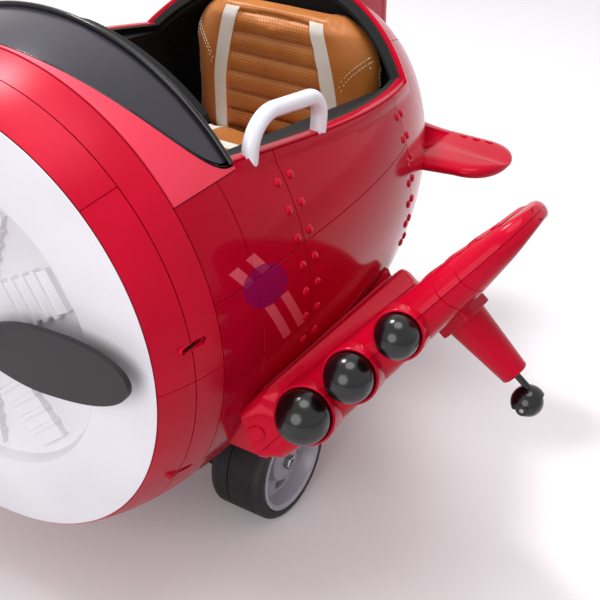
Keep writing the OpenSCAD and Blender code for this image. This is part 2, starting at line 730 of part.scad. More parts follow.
// One station across the wing: x, lean, rise of the middle, half heights in front and behind, squareness
// and what the tip's rounding takes from both ends
function wing_ring(st, inset) = let (x = st[0], lean = st[1], mid = st[2], h0 = st[3] * st[6], h1 = st[4] * st[6],
        q = st[5], d0 = st[3] - inset, d1 = st[4] - inset,
        y0 = lead_y(x) + inset + st[7], y1 = lead_y(x) + chord_at(x) - inset - st[7],
        pts = concat([for (a = [90:15:270]) [y0 + d0 * (1 + squared(cos(a), q)), mid + (h0 - inset) * squared(sin(a), q)]],
            [for (a = [270:30:450]) [y1 - d1 * (1 - squared(cos(a), q)), mid + (h1 - inset) * squared(sin(a), q)]]))
    [for (p = pts) [x + p[1] * tan(lean) + inset * st[8], p[0], p[1]]];
function tip_station(b) = [wing_span - tip_round * (1 - sin(b)), 0, 0, nose_tip_r, nose_tip_r - 1, 1,
    0.6 + 0.4 * cos(b), tip_round * (1 - cos(b)), b > 0 ? -1 : 0];
// Half thickness of the trailing edge
function tail_at(x) = lookup(x, [[46, 18], [joint_x, 11], [wing_span, nose_tip_r - 1]]);
module wing_volume(inset) skin_over([for (st = concat(
    [[-root_back, root_lean, (root_top - root_low) / 2, (root_top + root_low) / 2, (root_top + root_low) / 2 - 2, 0.4, 1, 0, 1.2],
        [25 - root_back, root_lean, (root_top - 26) / 2, (root_top + 26) / 2, (root_top + 20) / 2, 0.5, 1, 0, 0],
        [46, 0, 0, nose_at(46), tail_at(46), 1, 1, 0, 0], [joint_x, 0, 0, nose_joint_r, tail_at(joint_x), 1, 1, 0, 0]],
    [for (b = [0:20:80]) tip_station(b)])) wing_ring(st, inset)]);
module lamp_places() for (i = [0:2]) let (x = lamp_x + i * lamp_pitch, $lamp = lamp_r - i * lamp_step)
    translate([x, lead_y(x) - lamp_out, 0]) rotate([0, 0, sweep]) rotate([90, 0, 0]) children();
// Raised ribs on the outer panel's upper side, along the slope between the leading and trailing edges
module wing_ribs() for (i = [0:3]) let (x = joint_x - 49 + i * 31, y0 = lead_y(x) + nose_at(x),
    y1 = lead_y(x) + chord_at(x) - tail_at(x), fall = atan((nose_at(x) - tail_at(x)) / (y1 - y0)))
    translate([x, y0 + 8, nose_at(x)]) rotate([90 - fall, 0, 0]) mirror([0, 0, 1])
        linear_extrude((y1 - y0 - 24) / cos(fall)) polygon([[-11, -2], [11, -2], [9, 2], [5, 3], [-5, 3], [-9, 2]]);
module wing_half(up) difference() {
    union() {
        wing_volume(0);
        lamp_places() translate([0, 0, -lamp_out - 30]) cylinder(r = $lamp + lamp_lip, h = lamp_out + 28);
    }
    wing_volume(wing_wall);
    lamp_places() translate([0, 0, -lamp_out - 12]) cylinder(r = $lamp + clear, h = 2 * lamp_r + lamp_out);
    translate([-far, -far, up ? clear / 2 - 2 * far : -clear / 2]) cube([2 * far, 2 * far, 2 * far]);
}
module wing_shell(up) color(red) placed() {
    difference() {
        wing_frame() wing_half(up);
        hull_solid(0, tail_tip_y, clear);
    }
    if (up) wing_frame() wing_ribs();
}
module wing_upper_left() wing_shell(true);
module wing_upper_right() mirror([1, 0, 0]) wing_shell(true);
module wing_lower_left() wing_shell(false);
module wing_lower_right() mirror([1, 0, 0]) wing_shell(false);

module lamp_dome() intersection() {
    difference() {
        sphere(r = $lamp);
        sphere(r = $lamp - 3);
    }
    translate([0, 0, -8]) cylinder(r = $lamp + 1, h = 60);
}
module lamp_domes() color(black) placed() for (side = [0, 1]) mirror([side, 0, 0]) wing_frame()
    lamp_places() lamp_dome();

// The rail moulded on the fuselage's flank that the wing's root bolts to
function root_plane_x(z) = wing_root_x - root_back * cos(dihedral)
    - (z + wing_root_depth + root_back * sin(dihedral)) * tan(root_lean);
module wing_root_rails() color(red) placed() for (side = [0, 1]) mirror([side, 0, 0]) difference() {
    top_z = -84;
    low_z = -158;
    gap = clear / cos(root_lean);
    translate([0, wing_root_y + 6, 0]) rotate([90, 0, 0]) mirror([0, 0, 1]) linear_extrude(root_chord - 16)
        polygon([[body_r - 60, top_z], [root_plane_x(top_z) - gap, top_z],
            [root_plane_x(low_z) - gap, low_z], [body_r - 60, low_z]]);
    hull_solid(0, tail_tip_y, clear);
}

// Legs with their free-running casters, under the outer part of each wing

module leg_frame() translate([leg_x, leg_y, 0]) children();
strut_end = -pod_depth - strut_len;
stem_len = 24;
module wing_leg() color(red) leg_frame() difference() {
    union() {
        translate([0, 0, -pod_depth]) linear_extrude(pod_depth - nose_joint_r + 4) {
            square([pod_w, pod_len - 24], center = true);
            square([pod_w - 24, pod_len], center = true);
            for (sx = [-1, 1], sy = [-1, 1]) translate([sx * (pod_w / 2 - 12), sy * (pod_len / 2 - 12)]) circle(r = 12);
        }
        translate([0, 0, strut_end]) cylinder(r1 = strut_low_r, r2 = strut_top_r, h = strut_len);
    }
    translate([0, 0, strut_end - 1]) cylinder(r = stem_r + fit, h = stem_len + 2);
}
module leg_seated() placed() wing_frame() difference() {
    wing_leg();
    wing_volume(-clear);
}
module wing_leg_left() leg_seated();
module wing_leg_right() mirror([1, 0, 0]) leg_seated();

// The caster hangs from the strut by its stem, and the ball turns on a pin across it
pin_r = 3;
module ball_frame() placed() wing_frame() leg_frame() translate([-ball_trail, 0, strut_end - ball_drop]) children();
module caster_swivel() color(black) ball_frame() {
    difference() {
        union() {
            translate([ball_trail, 0, 0]) cylinder(r = stem_r, h = ball_drop + stem_len);
            rotate([0, 20, 0]) intersection() {
                sphere(r = ball_r + 3);
                translate([-far / 2, -far / 2, 2]) cube(far);
            }
            rotate([90, 0, 0]) cylinder(r = 7, h = 2 * ball_r + 6, center = true);
        }
        sphere(r = ball_r + 0.4);
        translate([0, 0, -far / 2 - 7]) cube(far, center = true);
    }
    rotate([90, 0, 0]) cylinder(r = pin_r, h = 2 * ball_r + 5, center = true);
}
module caster_ball() color(black) ball_frame() rotate([90, 0, 0]) rotate_extrude() intersection() {
    circle(r = ball_r);
    translate([pin_r + fit, -ball_r]) square([ball_r, 2 * ball_r]);
}
module caster_swivel_left() caster_swivel();
module caster_swivel_right() mirror([1, 0, 0]) caster_swivel();
module caster_ball_left() caster_ball();
module caster_ball_right() mirror([1, 0, 0]) caster_ball();

// Tail surfaces

stab_root_x = 150;
module stabilizer() color(red) placed() difference() {
    union() {
        hull() {
            for (y = [stab_y + 16, stab_y + stab_chord - 16])
                translate([stab_root_x, y, stab_z]) sphere(r = stab_edge_r + 2, $fn = 16);
            for (y = [stab_y + 62, stab_y + stab_chord - 34]) translate([stab_span - 34, y, stab_z])
                rotate_extrude($fn = 24) translate([22, 0]) circle(r = stab_edge_r - 2, $fn = 12);
        }
        hull() for (y = [stab_y + 14, stab_y + stab_chord - 14], x = [stab_root_x, stab_span - 130])
            translate([x, y, stab_z]) sphere(r = stab_edge_r + 8, $fn = 16);
    }
    hull_solid(seam_tail_y - 40, tail_tip_y, clear);
}
module stabilizer_left() stabilizer();
module stabilizer_right() mirror([1, 0, 0]) stabilizer();

module tail_fin() color(red) placed() difference() {
    hull() {
        translate([0, fin_rear_y - 202, 60]) sphere(r = 14, $fn = 16);
        translate([0, fin_rear_y - 12, 20]) sphere(r = 12, $fn = 16);
        translate([0, fin_rear_y - 101, fin_top_z - 30]) rotate([0, 90, 0])
            rotate_extrude($fn = 24) translate([20, 0]) circle(r = 9, $fn = 12);
        translate([0, fin_rear_y - 34, fin_top_z - 34]) rotate([0, 90, 0])
            rotate_extrude($fn = 24) translate([25, 0]) circle(r = 8, $fn = 12);
    }
    hull_solid(arch_y, tail_tip_y, clear);
    translate([-far, tail_tip_y - 1, -far]) cube([2 * far, far, far + 34]);
}

// Chassis, axle and drive

rail_top = -tub_depth;
rail_low = rail_top - rail_w;
rail_front_y = 150;
rail_rear_y = 652;
rail_in = rail_x - rail_w / 2;
plate_low = rail_top - 8;
tray_y = 372;
tray_z = rail_top - battery_h - 3 - clear;
pivot_r = 10;
module bar(x0, x1, y0, y1, z0, z1) translate([x0, y0, z0]) cube([x1 - x0, y1 - y0, z1 - z0]);
module chassis_frame() color(steel) placed() difference() {
    union() {
        for (x = [-rail_x, rail_x]) bar(x - rail_w / 2, x + rail_w / 2, rail_front_y, rail_rear_y, rail_low, rail_top);
        for (y = [rail_front_y, rail_rear_y - rail_w]) bar(-rail_x, rail_x, y, y + rail_w, rail_low, rail_top);
        bar(-gearbox_x - gearbox_w, gearbox_x + gearbox_w, axle_y - 16, axle_y + 16, rail_low, rail_top);
        bar(-60, 60, rail_rear_y - rail_w, caster_y + 42, plate_low, rail_top);
        bar(-rail_in - 1, rail_in + 1, tray_y - 2, tray_y + battery_len + 2, tray_z - 3, tray_z);
        for (side = [0, 1]) mirror([side, 0, 0])
            bar(battery_w / 2 + 0.5, rail_in + 1, tray_y - 2, tray_y + battery_len + 2, tray_z - 3, rail_top - 4);
    }
    translate([0, caster_y, -far]) cylinder(r = pivot_r + fit, h = far);
}
module battery() color(black) placed() {
    bar(-battery_w / 2, battery_w / 2, tray_y, tray_y + battery_len, rail_top - battery_h - 3, rail_top - 3);
    for (x = [-50, 50]) translate([x, tray_y + 16, rail_top - 3]) cylinder(r = 4, h = 3 - clear);
}
wheel_x = wheel_face_x - tyre_w / 2;
hub_in_x = wheel_face_x - tyre_w + 1;
hub_out_x = wheel_face_x - 10;
// The gearbox hangs under the axle's crossbar, with its motor behind it, and the wheel's hub runs against its boss
module gearbox() color(black) placed() difference() {
    union() {
        bar(gearbox_x, gearbox_x + gearbox_w, axle_y - 34, axle_y + 34, -axle_drop - 30, rail_low);
        translate([gearbox_x + 14, axle_y + 33, rail_low - 30]) rotate([-90, 0, 0]) cylinder(r = 17, h = 52);
        translate([gearbox_x + gearbox_w - 1, axle_y, -axle_drop]) rotate([0, 90, 0])
            cylinder(r = 16, h = hub_in_x - 0.5 - gearbox_x - gearbox_w + 1);
    }
    translate([0, axle_y, -axle_drop]) rotate([0, 90, 0]) cylinder(r = axle_r + fit, h = far);
}
module gearbox_left() gearbox();
module gearbox_right() mirror([1, 0, 0]) gearbox();
nut_h = 8;
axle_half = hub_out_x + 0.5 + nut_h + 2;
module drive_axle() color(steel) placed() translate([0, axle_y, -axle_drop]) rotate([0, 90, 0])
    cylinder(r = axle_r, h = 2 * axle_half, center = true);

module wheel_frame() translate([wheel_x, axle_y, -axle_drop]) rotate([0, 90, 0]) children();
module tyre() color(black) wheel_frame() rotate_extrude($fn = 96) {
    w = tyre_w / 2;
    tread = 2.5;
    difference() {
        polygon(concat([[rim_r + 0.1, -w + 3], [rim_r + 3, -w]],
            [for (a = [0:15:90]) [tyre_r - 9 + 9 * sin(a), -w + 9 - 9 * cos(a)]],
            [for (a = [90:-15:0]) [tyre_r - 9 + 9 * sin(a), w - 9 + 9 * cos(a)]],
            [[rim_r + 3, w], [rim_r + 0.1, w - 3]]));
        for (i = [-3:3]) translate([tyre_r - tread, i * 8 - 1]) square([tread + 1, 2]);
    }
}
module tyre_left() placed() tyre();
module tyre_right() placed() mirror([1, 0, 0]) tyre();
module rim() color(lilac) wheel_frame() difference() {
    w = tyre_w / 2;
    rotate_extrude($fn = 96) polygon([[axle_r + axle_fit, -w + 1], [20, -w + 1], [24, -w + 8], [24, 2],
        [rim_r - 10, 2], [rim_r - 6, -w + 3], [rim_r, -w + 3], [rim_r, w], [rim_r - 3.5, w + 1], [rim_r - 7, w - 2],
        [rim_r - 13, w - 22], [34, w - 24], [30, w - 13], [12, w - 10], [axle_r + axle_fit, w - 10]]);
    for (i = [0:spoke_count - 1]) rotate([0, 0, i * 360 / spoke_count]) for (step = [-8:8:8])
        rotate([0, 0, step]) translate([46, 0, 0]) cylinder(r = 6, h = 60, $fn = 32);
}
module rim_left() placed() rim();
module rim_right() placed() mirror([1, 0, 0]) rim();

// Tail caster

fork_top = -hull_r(caster_y) - 14;
wheel_mid_z = ground_z + tail_wheel_r;
tail_axle_y = caster_y + caster_trail;
module tail_caster_socket() color(black) placed() difference() {
    translate([0, caster_y, fork_top + clear]) cylinder(r = socket_r, h = plate_low - fork_top - clear);
    translate([0, caster_y, -far]) cylinder(r = pivot_r + fit, h = far);
}
module tail_fork() color(black) placed() {
    leg_out = tail_wheel_w / 2 + 8;
    translate([0, caster_y, fork_top - 1]) cylinder(r = pivot_r, h = rail_top - fork_top - 1);
    translate([0, caster_y, fork_top - 8]) cylinder(r = 26, h = 8);
    bar(-leg_out, leg_out, caster_y - 22, caster_y + 22, fork_top - 14, fork_top - 7.5);
    for (x = [-leg_out, leg_out - 6]) translate([x, 0, 0]) rotate([90, 0, 90])
        linear_extrude(6) polygon([[caster_y - 22, fork_top - 8], [caster_y + 22, fork_top - 8],
            [tail_axle_y + 13, wheel_mid_z], [tail_axle_y + 9, wheel_mid_z - 9],
            [tail_axle_y, wheel_mid_z - 13], [tail_axle_y - 11, wheel_mid_z - 6]]);
    translate([0, tail_axle_y, wheel_mid_z]) rotate([0, 90, 0]) cylinder(r = 5, h = 2 * leg_out, center = true);
}
module tail_wheel() color(black) placed() translate([0, tail_axle_y, wheel_mid_z]) rotate([0, 90, 0])
    rotate_extrude($fn = 96) {
        w = tail_wheel_w / 2;
        polygon(concat([[5 + fit, -w + 0.5], [12, -w + 0.5], [14, -w + 4], [tail_wheel_r - 14, -w + 4], [tail_wheel_r - 12, -w + 1]],
            [for (a = [0:15:90]) [tail_wheel_r - 7 + 7 * sin(a), -w + 8 - 7 * cos(a)]],
            [for (a = [90:-15:0]) [tail_wheel_r - 7 + 7 * sin(a), w - 8 + 7 * cos(a)]],
            [[tail_wheel_r - 12, w - 1], [tail_wheel_r - 14, w - 4], [14, w - 4], [12, w - 0.5], [5 + fit, w - 0.5]]));
    }

// Propeller

blade_y = front_y + spinner_len - 14;
hub_r = spinner_r - 8;
// Half width of a blade at a share of its length beyond the spinner: it swells, then rounds off at the tip
blade_swell = 0.45;
function blade_half(s) = (blade_root_w + (blade_w - blade_root_w) * sin(90 * min(1, s / blade_swell))) / 2
    * sqrt(1 - pow(max(0, s - blade_swell) / (1 - blade_swell), 2.6));
module blade() linear_extrude(blade_t) polygon(concat([[0, -blade_root_w / 2]],
    [for (i = [0:24]) [spinner_r + i / 24 * (blade_tip_r - spinner_r), -blade_half(i / 24)]],
    [for (i = [23:-1:0]) [spinner_r + i / 24 * (blade_tip_r - spinner_r), blade_half(i / 24)]], [[0, blade_root_w / 2]]));
module blade_places() for (i = [0:blade_count - 1]) rotate([0, blade_droop + i * 360 / blade_count, 0]) children();
module propeller_blades() color(black) placed() difference() {
    union() {
        blade_places() translate([0, blade_y + blade_t, 0]) rotate([90, 0, 0]) blade();
        translate([0, blade_y - 1, 0]) rotate([-90, 0, 0]) cylinder(r = hub_r, h = blade_t + 2);
    }
    translate([0, front_y, 0]) rotate([-90, 0, 0]) cylinder(r = prop_shaft_r + fit, h = spinner_len);
}
module spinner() color(white) placed() difference() {
    round_body() polygon(concat([[0, front_y], [4, front_y]],
        [for (i = [1:12]) [spinner_r * sin(90 * i / 12), front_y + spinner_len * (1 - cos(90 * i / 12))]], [[0, front_y + spinner_len]]));
    translate([0, blade_y - 1 - clear, 0]) rotate([-90, 0, 0]) cylinder(r = hub_r + clear, h = spinner_len);
    blade_places() bar(0, spinner_r + 10, blade_y - clear, blade_y + blade_t + clear, -blade_root_w / 2 - 2, blade_root_w / 2 + 2);
}
module propeller_shaft() color(steel) placed() translate([0, blade_y - 1, 0]) rotate([-90, 0, 0])
    cylinder(r = prop_shaft_r, h = motor_y + 12 - blade_y);
motor_len = 54;
motor_y = seam_deck_y - 3 - motor_len;
module propeller_motor() color(steel) placed() difference() {
    translate([0, motor_y, 0]) rotate([-90, 0, 0]) cylinder(r = prop_motor_r, h = motor_len);
    translate([0, motor_y - 1, 0]) rotate([-90, 0, 0]) cylinder(r = prop_shaft_r + fit, h = 18);
}

module control_box() color(black) placed()
    bar(-50, 50, rail_front_y + rail_w + 30, rail_front_y + rail_w + 96, rail_top - 28, rail_top);
module charge_socket() color(black) placed() translate([-90, base_front_y - 4, -150]) rotate([-90, 0, 0])
    cylinder(r = 9, h = 4);

// Rivets in pairs beside two seams, and the visible bolts

rivet_r = 5;
rivet_h = 2.5;
module rivet() cylinder(r1 = rivet_r, r2 = rivet_r / 2, h = rivet_h);
module rivet_row(y, angles) for (a = angles) for (turn = [a, 180 - a])
    rotate([0, -turn, 0]) translate([hull_r(y), y, 0]) rotate([0, 90, -hull_lean(y)]) translate([0, 0, 0.15]) rivet();
rivet_step = 6.3;
// A row's angles at a seam, from its first rivet's drop below the coaming's lip
function rivet_angles(y, drop) = [for (i = [0:6]) asin((coaming_at(y) - lip_h - drop) / hull_r(y)) - rivet_step * i];
module rivets() color(red) placed() {
    for (offset_y = [-13, 13]) rivet_row(body_peak_y + offset_y, rivet_angles(body_peak_y, 17));
    for (offset_y = [-9, 9]) rivet_row(seam_tail_y + offset_y, rivet_angles(seam_tail_y, 11.6));
}
cap_x = -6;
cap_z = (root_top - root_low) / 2 - 4;
module fasteners() color(steel) placed() for (side = [0, 1]) mirror([side, 0, 0]) {
    translate([hub_out_x + 0.5, axle_y, -axle_drop]) rotate([0, 90, 0]) difference() {
        cylinder(r = 11, h = nut_h, $fn = 6);
        translate([0, 0, -1]) cylinder(r = axle_r + fit, h = nut_h + 2);
    }
    wing_frame() translate([cap_x, (cap_x - cap_z * tan(root_lean)) * tan(sweep), cap_z]) rotate([0, 0, sweep])
        rotate([90 + atan(tan(root_lean) * sin(sweep)), 0, 0]) translate([0, 0, clear]) cylinder(r = 11, h = 3);
}

nose_plate();
dummy_engine();
cowl_ring_front();
cowl_ring_rear();
deck_panel();
windscreen();
windscreen_frame();
side_panel_left();
side_panel_right();
belly_panel();
turtledeck();
tail_shell();
coaming_trim();
frame_rings();
cockpit_tub();
dashboard();
seat_shell();
seat_cushion();
seat_backrest();
grab_handle_left();
grab_handle_right();
wing_upper_left();
wing_upper_right();
wing_lower_left();
wing_lower_right();
wing_root_rails();
lamp_domes();
wing_leg_left();
wing_leg_right();
caster_swivel_left();
caster_swivel_right();
caster_ball_left();
caster_ball_right();
stabilizer_left();
stabilizer_right();
tail_fin();
chassis_frame();
drive_axle();
gearbox_left();
gearbox_right();
tyre_left();
tyre_right();
rim_left();
rim_right();
tail_caster_socket();
tail_fork();
tail_wheel();
propeller_blades();
spinner();
propeller_shaft();
propeller_motor();
battery();
control_box();
charge_socket();
joystick_left();
joystick_right();
start_button();
horn_button();
rivets();
fasteners();
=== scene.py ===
"""The dressed model of an electric ride-on toy airplane.

The frame is in metres, with the nose along -Y and +X to port. The classes below work in millimetres on the
fuselage's own axis: X to port, Y aft of the nose plate and Z above the axis. ROW carries them into the frame.
"""

import logging
from collections.abc import Callable, Iterable, Sequence
from dataclasses import astuple, dataclass, field
from enum import Enum
from math import asin, atan, atan2, cos, degrees, hypot, pi, radians, sin, sqrt, tan

import bmesh
import bpy
from bmesh.types import BMEdge, BMesh, BMVert
from bpy.types import NodeSocket
from mathutils import Matrix, Vector
from mathutils.bvhtree import BVHTree


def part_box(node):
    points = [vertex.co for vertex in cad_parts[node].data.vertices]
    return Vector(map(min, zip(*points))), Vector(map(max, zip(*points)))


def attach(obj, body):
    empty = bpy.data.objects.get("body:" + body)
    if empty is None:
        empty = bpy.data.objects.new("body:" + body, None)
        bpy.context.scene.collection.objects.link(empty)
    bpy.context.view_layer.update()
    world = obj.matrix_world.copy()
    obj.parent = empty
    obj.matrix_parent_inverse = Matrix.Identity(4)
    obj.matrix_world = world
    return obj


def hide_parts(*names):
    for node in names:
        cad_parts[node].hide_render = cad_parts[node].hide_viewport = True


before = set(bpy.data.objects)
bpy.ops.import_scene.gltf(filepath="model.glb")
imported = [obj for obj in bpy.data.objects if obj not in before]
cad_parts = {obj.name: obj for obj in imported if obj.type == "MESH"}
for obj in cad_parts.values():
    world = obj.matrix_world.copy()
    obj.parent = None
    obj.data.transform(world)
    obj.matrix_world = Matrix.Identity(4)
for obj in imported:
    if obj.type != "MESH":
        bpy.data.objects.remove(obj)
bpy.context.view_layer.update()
LOG = logging.getLogger("airplane")

AXIS_Y = 454.0
AXIS_Z = 410.0
ROW = Matrix.Scale(0.001, 4) @ Matrix.Translation((0.0, -AXIS_Y, AXIS_Z))
MIRROR = Matrix.Scale(-1.0, 4, (1.0, 0.0, 0.0))
ORIGIN = Vector((0, 0, 0))
PORTWARD = Vector((1, 0, 0))
AFT = Vector((0, 1, 0))
UP = Vector((0, 0, 1))
AIRFRAME = "airframe"

Form = Callable[[float, float], Vector]
Region = Callable[[Vector], bool]


class Side(Enum):
    """The two sides of the airplane."""

    PORT = "left"
    STARBOARD = "right"

    @property
    def turn(self) -> Matrix:
        """The matrix that carries a port piece to this side."""
        return Matrix.Identity(4) if self is Side.PORT else MIRROR


# Places and shares


def move(x: float, y: float, z: float) -> Matrix:
    """The matrix that moves by a distance along each axis."""
    return Matrix.Translation((x, y, z))


def rotate(axis: str, angle: float) -> Matrix:
    """The matrix that turns round an axis by an angle in degrees."""
    return Matrix.Rotation(radians(angle), 4, axis)


def pointing(way: Vector) -> Matrix:
    """The matrix that turns Z to a direction."""
    return way.to_track_quat("Z", "Y").to_matrix().to_4x4()


def radial(angle: float) -> Vector:
    """The direction away from the fuselage's axis at an angle above level, in degrees."""
    return Vector((cos(radians(angle)), 0, sin(radians(angle))))


def between(first: float, last: float, share: float) -> float:
    """The value at a share of the way from a first to a last one."""
    return first + (last - first) * share


def clamp(value: float) -> float:
    """The value held between 0 and 1."""
    return min(1.0, max(0.0, value))


def peak(distance: float, reach: float) -> float:
    """A share that falls from 1 on a line to 0 at a distance from it."""
    return max(0.0, 1 - abs(distance) / reach)


def safe_sqrt(value: float) -> float:
    """The square root, or 0 of a negative value."""
    return sqrt(max(0.0, value))


def squared(value: float, power: float) -> float:
    """A rounded value that keeps its sign: power 1 is a circle's, and a smaller one squarer."""
    return abs(value) ** power * (1 if value >= 0 else -1)


def around(radius: float, start: int, stop: int, step: int) -> list[tuple[float, float]]:
    """The points of an arc, as radius and height, at angles in whole degrees."""
    return [(radius * cos(radians(a)), radius * sin(radians(a))) for a in range(start, stop, step)]


# Mesh tools


def warped_sheet(columns: int, rows: int, form: Form, closed: bool = False) -> BMesh:
    """Bends a flat grid into a surface.

    Args:
        columns: Cells along the first direction.
        rows: Cells along the second direction.
        form: Gives a point's place from its two shares of the grid, each from 0 to 1.
        closed: True where the first direction runs round and its ends are closed over.

    Returns:
        The mesh, with its coinciding points merged.
    """
    bm = bmesh.new()
    bmesh.ops.create_grid(bm, x_segments=columns, y_segments=rows, size=0.5)
    for vert in bm.verts:
        vert.co = form(clamp(vert.co.x + 0.5), clamp(vert.co.y + 0.5))
    bmesh.ops.remove_doubles(bm, verts=bm.verts, dist=0.002)
    if closed:
        bmesh.ops.holes_fill(bm, edges=[edge for edge in bm.edges if edge.is_boundary], sides=0)
    bmesh.ops.recalc_face_normals(bm, faces=bm.faces)
    return bm


def turned(profile: Sequence[tuple[float, float]], steps: int = 96) -> BMesh:
    """Spins an outline of radius and height round the Z axis.

    Args:
        profile: The outline, from one end of the axis to the other, or closed on itself off the axis.
        steps: Facets round the axis.

    Returns:
        The closed mesh.
    """
    bm = bmesh.new()
    points = [bm.verts.new((radius, 0.0, height)) for radius, height in profile]
    ring = list(zip(points, points[1:])) + ([(points[-1], points[0])] if profile[0][0] > 0.01 else [])
    edges = [bm.edges.new(pair) for pair in ring]
    bmesh.ops.spin(bm, geom=points + edges, cent=ORIGIN, axis=UP, angle=2 * pi, steps=steps, use_merge=True)
    bmesh.ops.remove_doubles(bm, verts=bm.verts, dist=0.002)
    bmesh.ops.recalc_face_normals(bm, faces=bm.faces)
    return bm


def joined(parts: Iterable[BMesh | tuple[BMesh, Matrix]]) -> BMesh:
    """Gathers meshes into one, those that come with a matrix carried to their places."""
    whole = bmesh.new()
    for item in parts:
        part, place = item if isinstance(item, tuple) else (item, Matrix.Identity(4))
        part.transform(place)
        store = bpy.data.meshes.new("part")
        part.to_mesh(store)
        part.free()
        whole.from_mesh(store)
        bpy.data.meshes.remove(store)
    return whole


def bisect(bm: BMesh, point: Vector, normal: Vector, near: Region | None = None) -> None:
    """Draws an edge loop where a plane meets the mesh, on all faces or only on those near a place."""
    faces = [face for face in bm.faces if near is None or near(face.calc_center_median())]
    edges = {edge for face in faces for edge in face.edges}
    verts = {vert for face in faces for vert in face.verts}
    bmesh.ops.bisect_plane(bm, geom=[*faces, *edges, *verts], dist=0.001, plane_co=point, plane_no=normal)


def groove(bm: BMesh, point: Vector, normal: Vector, narrow: float, wide: float,
           near: Region | None = None) -> None:
    """Sinks a fine line into a closed form where a plane meets it, as wide as the two distances say."""
    for offset in (-wide, -narrow, 0.0, narrow, wide):
        bisect(bm, point + normal * offset, normal)
    bm.normal_update()
    for vert in bm.verts:
        if abs((vert.co - point).dot(normal)) < 0.05 and (near is None or near(vert.co)):
            vert.co -= vert.normal * 0.9


def drop_faces(bm: BMesh, inside: Region) -> None:
    """Removes the faces whose middle lies inside a region."""
    doomed = [face for face in bm.faces if inside(face.calc_center_median())]
    bmesh.ops.delete(bm, geom=doomed, context="FACES")


def punch(bm: BMesh, place: Matrix, length: float, width: float, depth: float, sides: int = 8) -> None:
    """Cuts a slot with round ends through a sheet.

    Args:
        bm: The sheet.
        place: The slot's own frame, with X along it and Z out of the sheet.
        length: Its full length.
        width: Its width.
        depth: How far above and below its frame the cut reaches.
        sides: Facets of each round end.
    """
    inverse = place.inverted()
    straight = (length - width) / 2
    outline = []
    for end, first in ((1, -90), (-1, 90)):
        outline += [PORTWARD * end * straight + rotate("Z", first + 180 * i / sides) @ PORTWARD * width / 2
                    for i in range(sides + 1)]
    planes = []
    for a, b in zip(outline, outline[1:] + outline[:1]):
        if (b - a).length > 0.01:
            planes.append((a, Vector((b.y - a.y, a.x - b.x, 0)).normalized()))

    def near(point: Vector) -> bool:
        """True where a face is close enough to be cut."""
        local = inverse @ point
        return abs(local.z) < depth and hypot(local.x, local.y) < length / 2 + 14

    for point, normal in planes:
        bisect(bm, place @ point, place.to_3x3() @ normal, near)

    def inside(point: Vector) -> bool:
        """True within the slot."""
        local = inverse @ point
        return abs(local.z) < depth and all((local - point_on).dot(normal) < 0 for point_on, normal in planes)

    drop_faces(bm, inside)


@dataclass
class Piece:
    """One finished piece of the scene.

    It stands for the nodes that are given, or for the node of its own name where the frame has one.
    """

    name: str
    finish: "Finish"
    body: str = AIRFRAME
    slot: str = "body_red"
    stands_for: tuple[str, ...] = ()
    wall: float = 0.0
    bevel: float = 0.0
    crease: float = 32.0
    place: Matrix = field(default_factory=lambda: ROW)

    def __post_init__(self) -> None:
        """Lets the piece stand for the node of its own name."""
        if not self.stands_for and self.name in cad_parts:
            self.stands_for = (self.name,)

    def make(self, bm: BMesh, side: Side = Side.PORT) -> bpy.types.Object:
        """Turns a mesh into an object, finishes it and hangs it on its body.

        Args:
            bm: The mesh in the piece's own millimetres, which is used up.
            side: The side that it is for.

        Returns:
            The object.
        """
        turn = side.turn @ self.place
        bm.transform(turn)
        if turn.to_3x3().determinant() < 0:
            bmesh.ops.reverse_faces(bm, faces=bm.faces)
        mesh = bpy.data.meshes.new(self.name)
        bm.to_mesh(mesh)
        bm.free()
        for polygon in mesh.polygons:
            polygon.use_smooth = True
        mesh.set_sharp_from_angle(angle=radians(self.crease))
        thing = bpy.data.objects.new(self.name, mesh)
        bpy.context.scene.collection.objects.link(thing)
        self.add_modifiers(thing)
        mesh.materials.append(self.finish.material())
        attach(thing, self.body)
        if self.stands_for:
            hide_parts(*self.stands_for)
        LOG.info("%s: %d faces on %s", self.name, len(mesh.polygons), self.body)
        return thing

    def add_modifiers(self, thing: bpy.types.Object) -> None:
        """Gives the object its wall and its rounded edges."""
        if self.wall:
            wall = thing.modifiers.new("wall", "SOLIDIFY")
            wall.thickness = self.wall / 1000
            wall.offset = -1.0
            wall.use_even_offset = True
        if self.bevel:
            edge = thing.modifiers.new("edge", "BEVEL")
            edge.width = self.bevel / 1000
            edge.segments = 2
            edge.limit_method = "ANGLE"
            edge.angle_limit = radians(self.crease)
            edge.harden_normals = True


# Finishes


